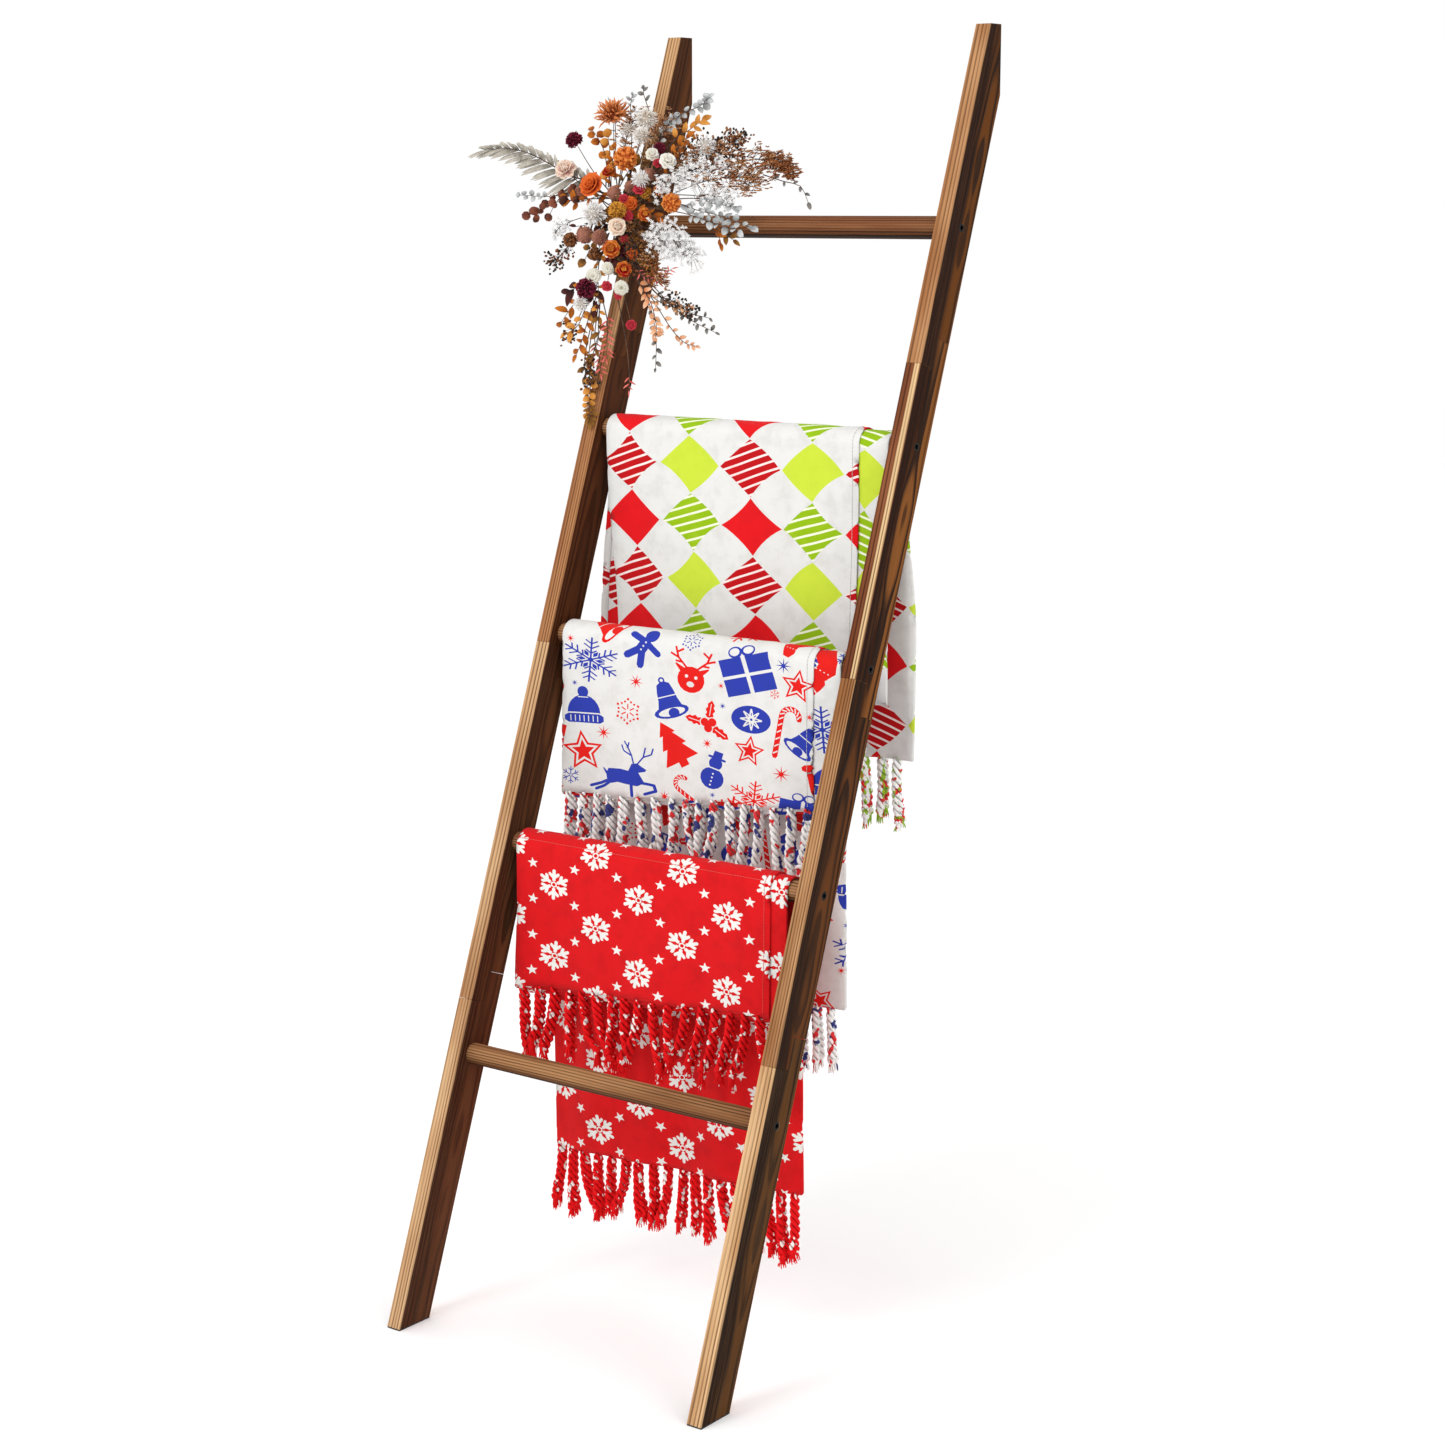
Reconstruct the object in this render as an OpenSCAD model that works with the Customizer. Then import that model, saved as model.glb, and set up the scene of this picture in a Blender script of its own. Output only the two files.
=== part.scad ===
// Leaning wooden blanket ladder with three fringed throws and a dried-flower spray.
// Millimetres, +Z up, +X to the right seen from the front, +Y towards the wall.
// The origin is on the floor, midway between the rails, under the front edge of the feet.

/* [Ladder frame] */
// Length of each rail along its front face
rail_length = 1650; // [1500:10:1700]
// Width over both rails
frame_width = 480; // [460:1:520]
// Thickness of a rail across the ladder
rail_width = 21; // [18:0.5:24]
// Depth of a rail from its front face to its back face
rail_depth = 51; // [49:0.5:54]
// Lean of the rails from upright, in degrees
lean = 20; // [18:0.5:22]
// Thickness of a rail's top end, in front of the bevel that meets the wall
top_end_depth = 22; // [18:0.5:30]

/* [Rungs] */
// Distance of the top rung along the rail, from the foot
top_rung_at = 1409; // [1400:1:1420]
// Distance from one rung to the next along the rail
rung_pitch = 266; // [262:1:268]
// Depth of the rung's axis behind the rail's front face
rung_inset = 27; // [25:0.5:28]
// Height of a rung
rung_height = 26; // [22:0.5:28]
// Depth of a rung from front to back
rung_depth = 30; // [28:0.5:32]

/* [Rail joints] */
// Length of each half-lap joint
lap_length = 38; // [34:1:40]
// Front seam of the lower lap, along the rail
lower_seam_at = 409; // [400:1:430]
// Front seam of the middle lap, along the rail
middle_seam_at = 860; // [855:1:862]
// Front seam of the upper lap, along the rail
upper_seam_at = 1236; // [1230:1:1240]

/* [Throws] */
// Folded width of a throw
throw_width = 418; // [400:1:420]
// Thickness of the three folded layers
throw_thickness = 6.5; // [5:0.5:7]
// Length of the fringe
fringe_length = 90; // [70:1:100]
// Front drop of the diamond throw, below the rung's axis
diamond_front_drop = 300; // [250:5:320]
// Back drop of the diamond throw
diamond_back_drop = 385; // [350:5:400]
// Front drop of the motif throw
motif_front_drop = 195; // [170:5:220]
// Back drop of the motif throw
motif_back_drop = 425; // [380:5:440]
// Front drop of the snowflake throw
snowflake_front_drop = 174; // [150:1:190]
// Back drop of the snowflake throw
snowflake_back_drop = 380; // [350:5:390]

/* [Flower spray] */
// Place of the bound stems along the rail
spray_at = 1395; // [1380:5:1400]
// Radius of the bound stems
spray_core_radius = 12; // [10:0.5:14]

/* [Hidden] */
$fn = 72;
foot_pad = 2;
rail_edge = 1.5;
seam_gap = 0.4;
reach = 60; // how far cutting shapes run past the wood

// Black M6 socket-head screws into threaded inserts
bolt_head_r = 5;
bolt_head_h = 6;
bolt_shank_r = 3;
bolt_length = 34;
bolt_hole_r = 3.3;
counterbore_r = 5.4;
hex_key_r = 2.9;
hex_key_depth = 3.2;
insert_r = 5;
insert_length = 16;
insert_bore_r = 3.05;

// Countersunk 4 mm screws through the laps
lap_screw_r = 2;
lap_screw_head_r = 3.8;
lap_screw_head_h = 3;
lap_screw_length = 42;
lap_screw_spread = 20;

// Throw against rung
throw_gap = 0.6;
throw_shift = 3; // the folded throws sit a little to the right of the middle
fringe_thickness = 4;

rail_centre = (frame_width - rail_width) / 2;
clear_width = frame_width - 2 * rail_width;
throw_inner_r = rung_depth / 2 + throw_gap;
throw_outer_r = throw_inner_r + throw_thickness;
lap_middle = rail_depth / 2;

function rung_at(i) = top_rung_at - i * rung_pitch;

// Side-view point [y, z] of a place s along the rail and k behind its front face
function side(s, k) = [
    s * sin(lean) + k * cos(lean),
    s * cos(lean) - k * sin(lean)
];

// Where a level cut at height z meets depth k
function level_cut(z, k) = (z + k * sin(lean)) / cos(lean);

top_z = rail_length * cos(lean);
wall_y = side(level_cut(top_z, top_end_depth), top_end_depth)[0];

// ---- shared shapes ----

// Puts children at [x, s, k] on the leaning ladder: z runs up the rail, y runs back from it
module on_ladder(x, s, k) {
    p = side(s, k);
    translate([x, p[0], p[1]]) rotate([-lean, 0, 0]) children();
}

module rounded_bar_section(w, d, r) {
    translate([r, 0]) square([w - 2 * r, d]);
    translate([0, r]) square([w, d - 2 * r]);
    for (x = [r, w - r], y = [r, d - r]) translate([x, y]) circle(r);
}

// Extrudes a side-view outline across the ladder, centred on x
module across(x, width) {
    translate([x - width / 2, 0, 0]) rotate([90, 0, 90]) linear_extrude(width) children();
}

// A straight rod from point a to point b
module rod(a, b, r) {
    v = b - a;
    turn = atan2(v[1], v[0]);
    tilt = atan2(norm([v[0], v[1]]), v[2]);
    translate(a) rotate([0, tilt, turn]) cylinder(h = norm(v), r = r);
}

// ---- rails ----

// Side view of one length of rail: each half of the lap has its own lower and upper end
module rail_outline(front_low, front_high, back_low, back_high) {
    polygon([for (p = [
        [front_low, -reach], [front_high, -reach], [front_high, lap_middle],
        [back_high, lap_middle], [back_high, rail_depth + reach],
        [back_low, rail_depth + reach], [back_low, lap_middle],
        [front_low, lap_middle]]) side(p[0], p[1])]);
}

// Everything between the floor pads, the level top cut and the wall
module standing_space() {
    translate([-reach, foot_pad]) square([wall_y + reach, top_z - foot_pad]);
}

module rung_bolt_hole(side_sign, s) {
    on_ladder(side_sign * frame_width / 2, s, rung_inset)
        rotate([0, -side_sign * 90, 0]) {
            cylinder(h = rail_width + 1, r = bolt_hole_r);
            translate([0, 0, -1]) cylinder(h = bolt_head_h + 1.3, r = counterbore_r);
        }
}

module lap_screw_hole(x, s) {
    on_ladder(x, s, rail_depth) rotate([90, 0, 0]) {
        translate([0, 0, -1]) cylinder(h = lap_screw_length + 1.5, r = lap_screw_r + 0.05);
        cylinder(h = lap_screw_head_h + 0.05, r1 = lap_screw_head_r + 0.05,
                 r2 = lap_screw_r + 0.05);
    }
}

function lap_centre(j) =
    j == 0 ? lower_seam_at + lap_length / 2 :
    j == 1 ? middle_seam_at - lap_length / 2 :
    upper_seam_at + lap_length / 2;

module rail_length_of(side_sign, front_low, front_high, back_low, back_high) {
    x = side_sign * rail_centre;
    difference() {
        intersection() {
            on_ladder(x - rail_width / 2, -reach, 0)
                linear_extrude(rail_length + 2 * reach)
                    rounded_bar_section(rail_width, rail_depth, rail_edge);
            across(x, rail_width + 2)
                intersection() {
                    rail_outline(front_low, front_high, back_low, back_high);
                    standing_space();
                }
        }
        for (i = [0:4]) rung_bolt_hole(side_sign, rung_at(i));
        for (j = [0:2], step = [-1, 1])
            lap_screw_hole(x, lap_centre(j) + step * lap_screw_spread / 2);
    }
}

module rail_bottom(side_sign)
    rail_length_of(side_sign, -reach, lower_seam_at - seam_gap,
                   -reach, lower_seam_at + lap_length - seam_gap);

module rail_lower(side_sign)
    rail_length_of(side_sign, lower_seam_at, middle_seam_at - seam_gap,
                   lower_seam_at + lap_length, middle_seam_at - lap_length - seam_gap);

module rail_upper(side_sign)
    rail_length_of(side_sign, middle_seam_at, upper_seam_at - seam_gap,
                   middle_seam_at - lap_length, upper_seam_at + lap_length - seam_gap);

module rail_top(side_sign)
    rail_length_of(side_sign, upper_seam_at, rail_length + reach,
                   upper_seam_at + lap_length, rail_length + reach);

module left_rail_bottom() color("saddlebrown") rail_bottom(-1);
module left_rail_lower() color("sienna") rail_lower(-1);
module left_rail_upper() color("saddlebrown") rail_upper(-1);
module left_rail_top() color("sienna") rail_top(-1);
module right_rail_bottom() color("saddlebrown") rail_bottom(1);
module right_rail_lower() color("sienna") rail_lower(1);
module right_rail_upper() color("saddlebrown") rail_upper(1);
module right_rail_top() color("sienna") rail_top(1);

// ---- rungs and their fasteners ----

module rung_section() {
    flat = rung_depth - rung_height;
    for (side_sign = [-1, 1]) translate([side_sign * flat / 2, 0]) circle(rung_height / 2);
    square([flat, rung_height], center = true);
}

module rung(i) color("peru")
    difference() {
        on_ladder(-clear_width / 2, rung_at(i), rung_inset)
            rotate([90, 0, 90]) linear_extrude(clear_width) rung_section();
        for (side_sign = [-1, 1])
            on_ladder(side_sign * clear_width / 2, rung_at(i), rung_inset)
                rotate([0, -side_sign * 90, 0])
                    translate([0, 0, -1]) cylinder(h = insert_length + 2, r = insert_r + 0.05);
    }

module rung_1() rung(0);
module rung_2() rung(1);
module rung_3() rung(2);
module rung_4() rung(3);
module rung_5() rung(4);

module rung_bolt() {
    difference() {
        cylinder(h = bolt_head_h, r = bolt_head_r);
        translate([0, 0, -1]) cylinder(h = hex_key_depth + 1, r = hex_key_r, $fn = 6);
    }
    translate([0, 0, bolt_head_h - 0.1]) cylinder(h = bolt_length - bolt_head_h, r = bolt_shank_r);
}

module rung_bolts(side_sign) color("black")
    for (i = [0:4])
        on_ladder(side_sign * frame_width / 2, rung_at(i), rung_inset)
            rotate([0, -side_sign * 90, 0]) translate([0, 0, 0.3]) rung_bolt();

module left_rung_bolts() rung_bolts(-1);
module right_rung_bolts() rung_bolts(1);

module rung_inserts() color("darkgoldenrod")
    for (i = [0:4], side_sign = [-1, 1])
        on_ladder(side_sign * (clear_width / 2 - 0.5), rung_at(i), rung_inset)
            rotate([0, -side_sign * 90, 0])
                difference() {
                    cylinder(h = insert_length, r = insert_r);
                    translate([0, 0, -1]) cylinder(h = insert_length + 2, r = insert_bore_r);
                }

module lap_screws() color("dimgray")
    for (side_sign = [-1, 1], j = [0:2], step = [-1, 1])
        on_ladder(side_sign * rail_centre, lap_centre(j) + step * lap_screw_spread / 2, rail_depth)
            rotate([90, 0, 0]) {
                cylinder(h = lap_screw_head_h, r1 = lap_screw_head_r, r2 = lap_screw_r);
                translate([0, 0, lap_screw_head_h - 0.1])
                    cylinder(h = lap_screw_length - lap_screw_head_h, r = lap_screw_r);
            }

module foot_pad_at(side_sign) color("darkslategray")
    translate([side_sign * rail_centre - rail_width / 2 + 0.5,
               side(level_cut(foot_pad, 0), 0)[0] + 0.5, 0])
        cube([rail_width - 1, rail_depth / cos(lean) - 1, foot_pad]);

module left_foot_pad() foot_pad_at(-1);
module right_foot_pad() foot_pad_at(1);

// ---- throws ----

module throw_outline(front_drop, back_drop) {
    intersection() {
        difference() {
            circle(throw_outer_r);
            circle(throw_inner_r);
        }
        translate([-throw_outer_r - 1, 0]) square([2 * throw_outer_r + 2, throw_outer_r + 1]);
    }
    translate([-throw_outer_r, -front_drop]) square([throw_thickness, front_drop]);
    translate([throw_inner_r, -back_drop]) square([throw_thickness, back_drop]);
}

// Puts a side-view outline on rung i, over the folded width of a throw
module on_rung(i) {
    p = side(rung_at(i), rung_inset);
    translate([0, p[0], p[1]]) across(throw_shift, throw_width) children();
}

module throw(i, front_drop, back_drop) on_rung(i) throw_outline(front_drop, back_drop);

// towards is -1 for the front flap and 1 for the back flap
module fringe(i, drop, towards) {
    middle = towards * (throw_inner_r + throw_thickness / 2);
    on_rung(i) translate([middle - fringe_thickness / 2, -drop - fringe_length])
        square([fringe_thickness, fringe_length]);
}

module diamond_throw() color("yellowgreen") throw(1, diamond_front_drop, diamond_back_drop);
module diamond_throw_front_fringe() color("ivory") fringe(1, diamond_front_drop, -1);
module diamond_throw_back_fringe() color("ivory") fringe(1, diamond_back_drop, 1);

module motif_throw() color("royalblue") throw(2, motif_front_drop, motif_back_drop);
module motif_throw_front_fringe() color("ivory") fringe(2, motif_front_drop, -1);
module motif_throw_back_fringe() color("ivory") fringe(2, motif_back_drop, 1);

module snowflake_throw() color("crimson") throw(3, snowflake_front_drop, snowflake_back_drop);
module snowflake_throw_front_fringe() color("crimson") fringe(3, snowflake_front_drop, -1);
module snowflake_throw_back_fringe() color("crimson") fringe(3, snowflake_back_drop, 1);

// ---- dried-flower spray ----
// Places are [x, s, k] on the leaning ladder: across, along the rail, behind the front face.

// Blooms: [x, s, k, radius]
blooms = [
    [-276, 1540, -26, 18], [-330, 1503, -24, 11], [-334, 1463, -30, 13], [-240, 1474, -42, 15],
    [-152, 1419, -36, 12], [-236, 1411, -52, 12], [-282, 1440, -42, 17], [-199, 1483, -30, 8],
    [-172, 1474, -34, 10], [-209, 1448, -44, 10], [-272, 1405, -46, 15], [-230, 1387, -50, 11],
    [-290, 1378, -34, 10], [-256, 1372, -40, 9], [-306, 1366, -26, 9], [-262, 1347, -30, 8],
    [-232, 1357, -44, 11], [-204, 1333, -36, 10], [-252, 1322, -30, 11], [-202, 1308, -32, 9],
    [-262, 1298, -32, 12], [-180, 1262, -20, 7], [-264, 1275, -38, 9]
];

// Leaf sprigs from the top of the spray to its bottom: [x, s, k, leaf length]
sprigs = [
    [-238, 1556, -18, 30], [-310, 1552, -16, 26], [-130, 1550, -16, 34], [-188, 1530, -18, 32],
    [-110, 1500, -20, 34], [-60, 1460, -22, 34], [-120, 1444, -30, 32], [-400, 1430, -22, 34],
    [20, 1428, -20, 34], [-372, 1398, -24, 30], [-20, 1390, -16, 32], [-66, 1378, -18, 30],
    [-92, 1345, -18, 32], [-140, 1300, -16, 30], [-290, 1255, -26, 30], [-60, 1250, -14, 30],
    [-240, 1230, -20, 30], [-30, 1215, -12, 28], [-215, 1180, -12, 28]
];

palm_base = [-290, 1440, -20];
palm_tip = [-508, 1490, -20];

core_length = 120;
stem_r = 1;
leaf_plate = 1.5;

function on_ladder_point(p) = [p[0], side(p[1], p[2])[0], side(p[1], p[2])[1]];

// Where stem i leaves the bound bundle: in order down its length, on the side it goes to
function stem_root(i) = [
    -rail_centre + sign(sprigs[i][0] + rail_centre) * spray_core_radius / 2,
    spray_at + core_length * (0.45 - 0.9 * i / (len(sprigs) - 1)),
    -spray_core_radius * 1.6
];

module spray_core() color("tan")
    on_ladder(-rail_centre, spray_at - core_length / 2, -spray_core_radius)
        cylinder(h = core_length, r = spray_core_radius);

// Two turns of flat wire tape round the rail and the bundle
module spray_tie() color("olivedrab")
    for (s = [spray_at - 40, spray_at + 40])
        on_ladder(-rail_centre, s, 0)
            difference() {
                translate([-rail_width / 2 - 1.4, -2 * spray_core_radius - 1.4, 0])
                    cube([rail_width + 2.8, rail_depth + 2 * spray_core_radius + 2.8, 5]);
                translate([-rail_width / 2 - 0.2, -2 * spray_core_radius - 0.2, -1])
                    cube([rail_width + 0.4, rail_depth + 2 * spray_core_radius + 0.4, 7]);
            }

module spray_stems() color("saddlebrown")
    for (i = [0:len(sprigs) - 1])
        rod(on_ladder_point(stem_root(i)), on_ladder_point(sprigs[i]), stem_r);

module spray_blooms() color("darkorange")
    for (b = blooms) on_ladder(b[0], b[1], b[2]) sphere(b[3]);

// A pointed leaf outline of the given length, as the overlap of two circles
module leaf_outline(length) {
    r = length * 0.72;
    offset_x = r - length * 0.2;
    intersection() {
        translate([-offset_x, 0]) circle(r);
        translate([offset_x, 0]) circle(r);
    }
}

module spray_foliage() color("sienna")
    for (p = sprigs)
        on_ladder(p[0], p[1], p[2]) rotate([90, 0, 0])
            rotate([0, 0, atan2(p[1] - spray_at, p[0] + rail_centre) - 90])
                translate([0, 0, stem_r + 0.2]) linear_extrude(leaf_plate) leaf_outline(p[3]);

module spray_palm_leaf() color("darkgray") {
    run = [palm_tip[0] - palm_base[0], palm_tip[1] - palm_base[1]];
    middle = (palm_base + palm_tip) / 2;
    rod(on_ladder_point(palm_base), on_ladder_point(palm_tip), stem_r);
    on_ladder(middle[0], middle[1], middle[2] + leaf_plate / 2)
        rotate([90, 0, 0]) rotate([0, 0, atan2(run[1], run[0]) - 90])
            linear_extrude(leaf_plate) leaf_outline(norm(run));
}

left_rail_bottom();
left_rail_lower();
left_rail_upper();
left_rail_top();
right_rail_bottom();
right_rail_lower();
right_rail_upper();
right_rail_top();
rung_1();
rung_2();
rung_3();
rung_4();
rung_5();
left_rung_bolts();
right_rung_bolts();
rung_inserts();
lap_screws();
left_foot_pad();
right_foot_pad();
diamond_throw();
diamond_throw_front_fringe();
diamond_throw_back_fringe();
motif_throw();
motif_throw_front_fringe();
motif_throw_back_fringe();
snowflake_throw();
snowflake_throw_front_fringe();
snowflake_throw_back_fringe();
spray_core();
spray_tie();
spray_stems();
spray_blooms();
spray_foliage();
spray_palm_leaf();
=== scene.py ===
"""Looks for the leaning blanket ladder with three fringed throws and a dried-flower spray.

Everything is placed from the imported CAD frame. Helper sizes are in millimetres and become
metres where a mesh is made.
"""

import math
import random

import bpy
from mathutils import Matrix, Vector, kdtree, noise
from mathutils.geometry import delaunay_2d_cdt


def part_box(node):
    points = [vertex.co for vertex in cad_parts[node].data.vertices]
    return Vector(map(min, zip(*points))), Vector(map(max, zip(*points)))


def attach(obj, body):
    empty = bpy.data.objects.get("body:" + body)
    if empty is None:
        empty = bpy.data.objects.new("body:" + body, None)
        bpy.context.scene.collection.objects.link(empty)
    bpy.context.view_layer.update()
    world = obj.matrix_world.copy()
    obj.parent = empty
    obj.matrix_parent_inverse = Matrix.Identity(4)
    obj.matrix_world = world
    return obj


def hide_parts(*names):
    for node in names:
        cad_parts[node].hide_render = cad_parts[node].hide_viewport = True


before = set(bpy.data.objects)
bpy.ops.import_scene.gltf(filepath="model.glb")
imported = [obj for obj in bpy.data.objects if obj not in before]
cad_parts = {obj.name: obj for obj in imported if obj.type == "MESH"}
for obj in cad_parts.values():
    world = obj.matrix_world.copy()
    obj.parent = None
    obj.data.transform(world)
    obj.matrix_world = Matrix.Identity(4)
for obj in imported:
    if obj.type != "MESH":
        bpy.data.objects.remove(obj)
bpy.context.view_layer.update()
MM = 0.001


# ---- places on the frame ----

def middle(node):
    low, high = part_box(node)
    return (low + high) / 2


RUNGS = [middle(f"rung_{i}") for i in range(1, 6)]
UP_RAIL = (RUNGS[0] - RUNGS[4]).normalized()
BEHIND = Vector((0, UP_RAIL.z, -UP_RAIL.y))
LEAN = math.atan2(UP_RAIL.y, UP_RAIL.z)
RAIL_WIDTH, RAIL_DEPTH = 21.0, 51.0


def on_ladder(x, s, k):
    """A point s along the rails from the floor and k behind their front face, in metres."""
    return Vector((x * MM, 0, 0)) + UP_RAIL * (s * MM) + BEHIND * (k * MM)


def smooth(t):
    t = min(1.0, max(0.0, t))
    return t * t * (3 - 2 * t)


def blend(a, b, t):
    return a + (b - a) * t


# ---- camera, lights and floor ----

CAMERA_PLACE = (1.99407, -2.29867, 1.33856)
LOOK_DOWN, LOOK_ASIDE = 0.183681, 0.643446   # in radians, from level and from the +Y axis
LENS = 69.105                                # focal length in mm on a 36 mm sensor
WHITE = (1.0, 1.0, 1.0, 1)
FLOOR_HALF = 12.0
LIT_POINT = Vector((0, 0.3, 0.8))


def add_camera():
    data = bpy.data.cameras.new("camera")
    data.sensor_width = 36
    data.lens = LENS
    data.clip_end = 50
    camera = bpy.data.objects.new("camera", data)
    camera.location = CAMERA_PLACE
    camera.rotation_euler = (math.pi / 2 - LOOK_DOWN, 0, LOOK_ASIDE)
    bpy.context.scene.collection.objects.link(camera)
    bpy.context.scene.camera = camera


def add_area_light(name, place, size, power):
    """A round soft light that looks at the middle of the ladder."""
    data = bpy.data.lights.new(name, "AREA")
    data.shape = "DISK"
    data.size = size
    data.energy = power
    light = bpy.data.objects.new(name, data)
    light.location = place
    aim = LIT_POINT - Vector(place)
    light.rotation_euler = aim.to_track_quat("-Z", "Y").to_euler()
    bpy.context.scene.collection.objects.link(light)


def add_studio():
    world = bpy.data.worlds.new("studio")
    world.use_nodes = True
    background = world.node_tree.nodes["Background"]
    background.inputs["Color"].default_value = WHITE
    background.inputs["Strength"].default_value = 1.0
    bpy.context.scene.world = world
    bpy.context.scene.view_settings.view_transform = "Standard"
    add_area_light("key", (-0.6, -2.6, 2.9), 1.4, 40)
    add_area_light("side", (2.9, -0.6, 2.0), 1.6, 14)


def add_floor():
    mesh = bpy.data.meshes.new("floor")
    corners = [(x * FLOOR_HALF, y * FLOOR_HALF, 0) for x, y in ((-1, -1), (1, -1), (1, 1), (-1, 1))]
    mesh.from_pydata(corners, [], [(0, 1, 2, 3)])
    floor = bpy.data.objects.new("floor", mesh)
    bpy.context.scene.collection.objects.link(floor)
    shader = Shader("floor_paint")
    cloud = shader.noise(shader.object_place(), 1.5, 2)
    shader.set("Base Color", shader.mix(cloud, (0.90, 0.90, 0.90, 1), (0.93, 0.93, 0.93, 1)))
    shader.set("Roughness", 0.85)
    shader.set("Emission Color", WHITE)
    shader.set("Emission Strength", 0.085)
    mesh.materials.append(shader.material)


# ---- materials ----

class Shader:
    """One material, with short calls that add and link its nodes."""

    def __init__(self, name):
        self.material = bpy.data.materials.new(name)
        self.material.use_nodes = True
        self.tree = self.material.node_tree
        self.surface = self.tree.nodes["Principled BSDF"]

    def feed(self, socket, value):
        if isinstance(value, bpy.types.NodeSocket):
            self.tree.links.new(value, socket)
        else:
            socket.default_value = value

    def add(self, kind, inputs, output=0, **settings):
        node = self.tree.nodes.new("ShaderNode" + kind)
        for key, value in settings.items():
            setattr(node, key, value)
        for key, value in inputs.items():
            self.feed(node.inputs[key], value)
        return node.outputs[output]

    def set(self, socket, value):
        self.feed(self.surface.inputs[socket], value)

    def object_place(self):
        return self.add("TexCoord", {}, "Object")

    def face_direction(self):
        return self.add("TexCoord", {}, "Normal")

    def flat_place(self):
        return self.add("UVMap", {}, uv_map="flat")

    def math(self, operation, a, b=0.0, clamp=False):
        return self.add("Math", {0: a, 1: b}, operation=operation, use_clamp=clamp)

    def times(self, a, b, clamp=False):
        return self.math("MULTIPLY", a, b, clamp)

    def plus(self, a, b):
        return self.math("ADD", a, b)

    def dot(self, vector, direction):
        inputs = {0: vector, 1: direction}
        return self.add("VectorMath", inputs, "Value", operation="DOT_PRODUCT")

    def parts(self, vector):
        node = self.tree.nodes.new("ShaderNodeSeparateXYZ")
        self.feed(node.inputs[0], vector)
        return node.outputs

    def scale(self, vector, sizes):
        return self.add("VectorMath", {0: vector, 1: sizes}, operation="MULTIPLY")

    def noise(self, place, scale, detail=3.0, roughness=0.5):
        inputs = {"Vector": place, "Scale": scale, "Detail": detail, "Roughness": roughness}
        return self.add("TexNoise", inputs, "Fac")

    def streaks(self, parts, scales, detail=3.0, roughness=0.5):
        """Noise with its own scale along each of three measures; 0 leaves a measure out."""
        place = [self.times(part, scale) if scale else 0.0 for part, scale in zip(parts, scales)]
        place = self.add("CombineXYZ", dict(enumerate(place)))
        return self.noise(place, 1.0, detail, roughness)

    def mix(self, share, a, b):
        node = self.tree.nodes.new("ShaderNodeMix")
        node.data_type = "RGBA"
        for socket, value in ((0, share), (6, a), (7, b)):
            self.feed(node.inputs[socket], value)
        return node.outputs[2]

    def tint(self, share, amount, colour, other):
        """The colour with up to amount of another one mixed in."""
        return self.mix(self.times(share, amount), colour, other)

    def between(self, value, low, high):
        """0 below low, 1 above high, smooth in between."""
        inputs = {"Value": value, "From Min": low, "From Max": high}
        return self.add("MapRange", inputs, interpolation_type="SMOOTHSTEP")

    def ramp(self, share, stops):
        node = self.tree.nodes.new("ShaderNodeValToRGB")
        self.feed(node.inputs[0], share)
        places = node.color_ramp.elements
        while len(places) < len(stops):
            places.new(0.5)
        for element, (at, grey) in zip(places, stops):
            element.position = at
            element.color = (grey, grey, grey, 1)
        return node.outputs[0]

    def finish(self, colour, roughness, height, depth, strength=1.0, **others):
        """Sets the look of the surface; depth is the bump's height in millimetres."""
        self.set("Base Color", colour)
        self.set("Roughness", roughness)
        for socket, value in others.items():
            self.set(socket.replace("_", " "), value)
        inputs = {"Height": height, "Distance": depth * MM, "Strength": strength}
        self.set("Normal", self.add("Bump", inputs))
        return self.material


def rgb(code):
    """Linear colour from a screen colour such as "d8e860"."""
    channels = [int(code[i:i + 2], 16) / 255 for i in (0, 2, 4)]
    linear = [c / 12.92 if c <= 0.04045 else ((c + 0.055) / 1.055) ** 2.4 for c in channels]
    return (*linear, 1.0)


def shade(colour, factor):
    return (*[min(1.0, c * factor) for c in colour[:3]], 1)


# ---- charred pine ----

def growth_rings(shader, across, deep, along, pith, pitch, waviness):
    """Share of the way through each growth ring, and how strong that ring's dark part is."""
    places = (across, deep, along)
    drift = shader.streaks(places, (6, 0, 3.2), 2)
    fine = shader.streaks(places, (90, 90, 9), 2)
    off = shader.times(shader.math("SUBTRACT", drift, 0.5), waviness)
    off = shader.plus(off, shader.times(fine, 1.1 * MM))
    a, b = [shader.math("SUBTRACT", value, centre * MM)
            for value, centre in zip((across, deep), pith)]
    far = shader.math("SQRT", shader.plus(shader.times(a, a), shader.times(b, b)))
    count = shader.math("DIVIDE", shader.plus(far, off), pitch * MM)
    whole = shader.math("FLOOR", count)
    strength = shader.streaks((whole, whole, along), (0.61, 0, 2.0), 1)
    return shader.math("FRACT", count), shader.between(strength, 0.30, 0.62)


CHAR = rgb("110703")
STREAK_EDGE = 232      # where the pale sapwood begins on one rail, in mm across the ladder


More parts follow.
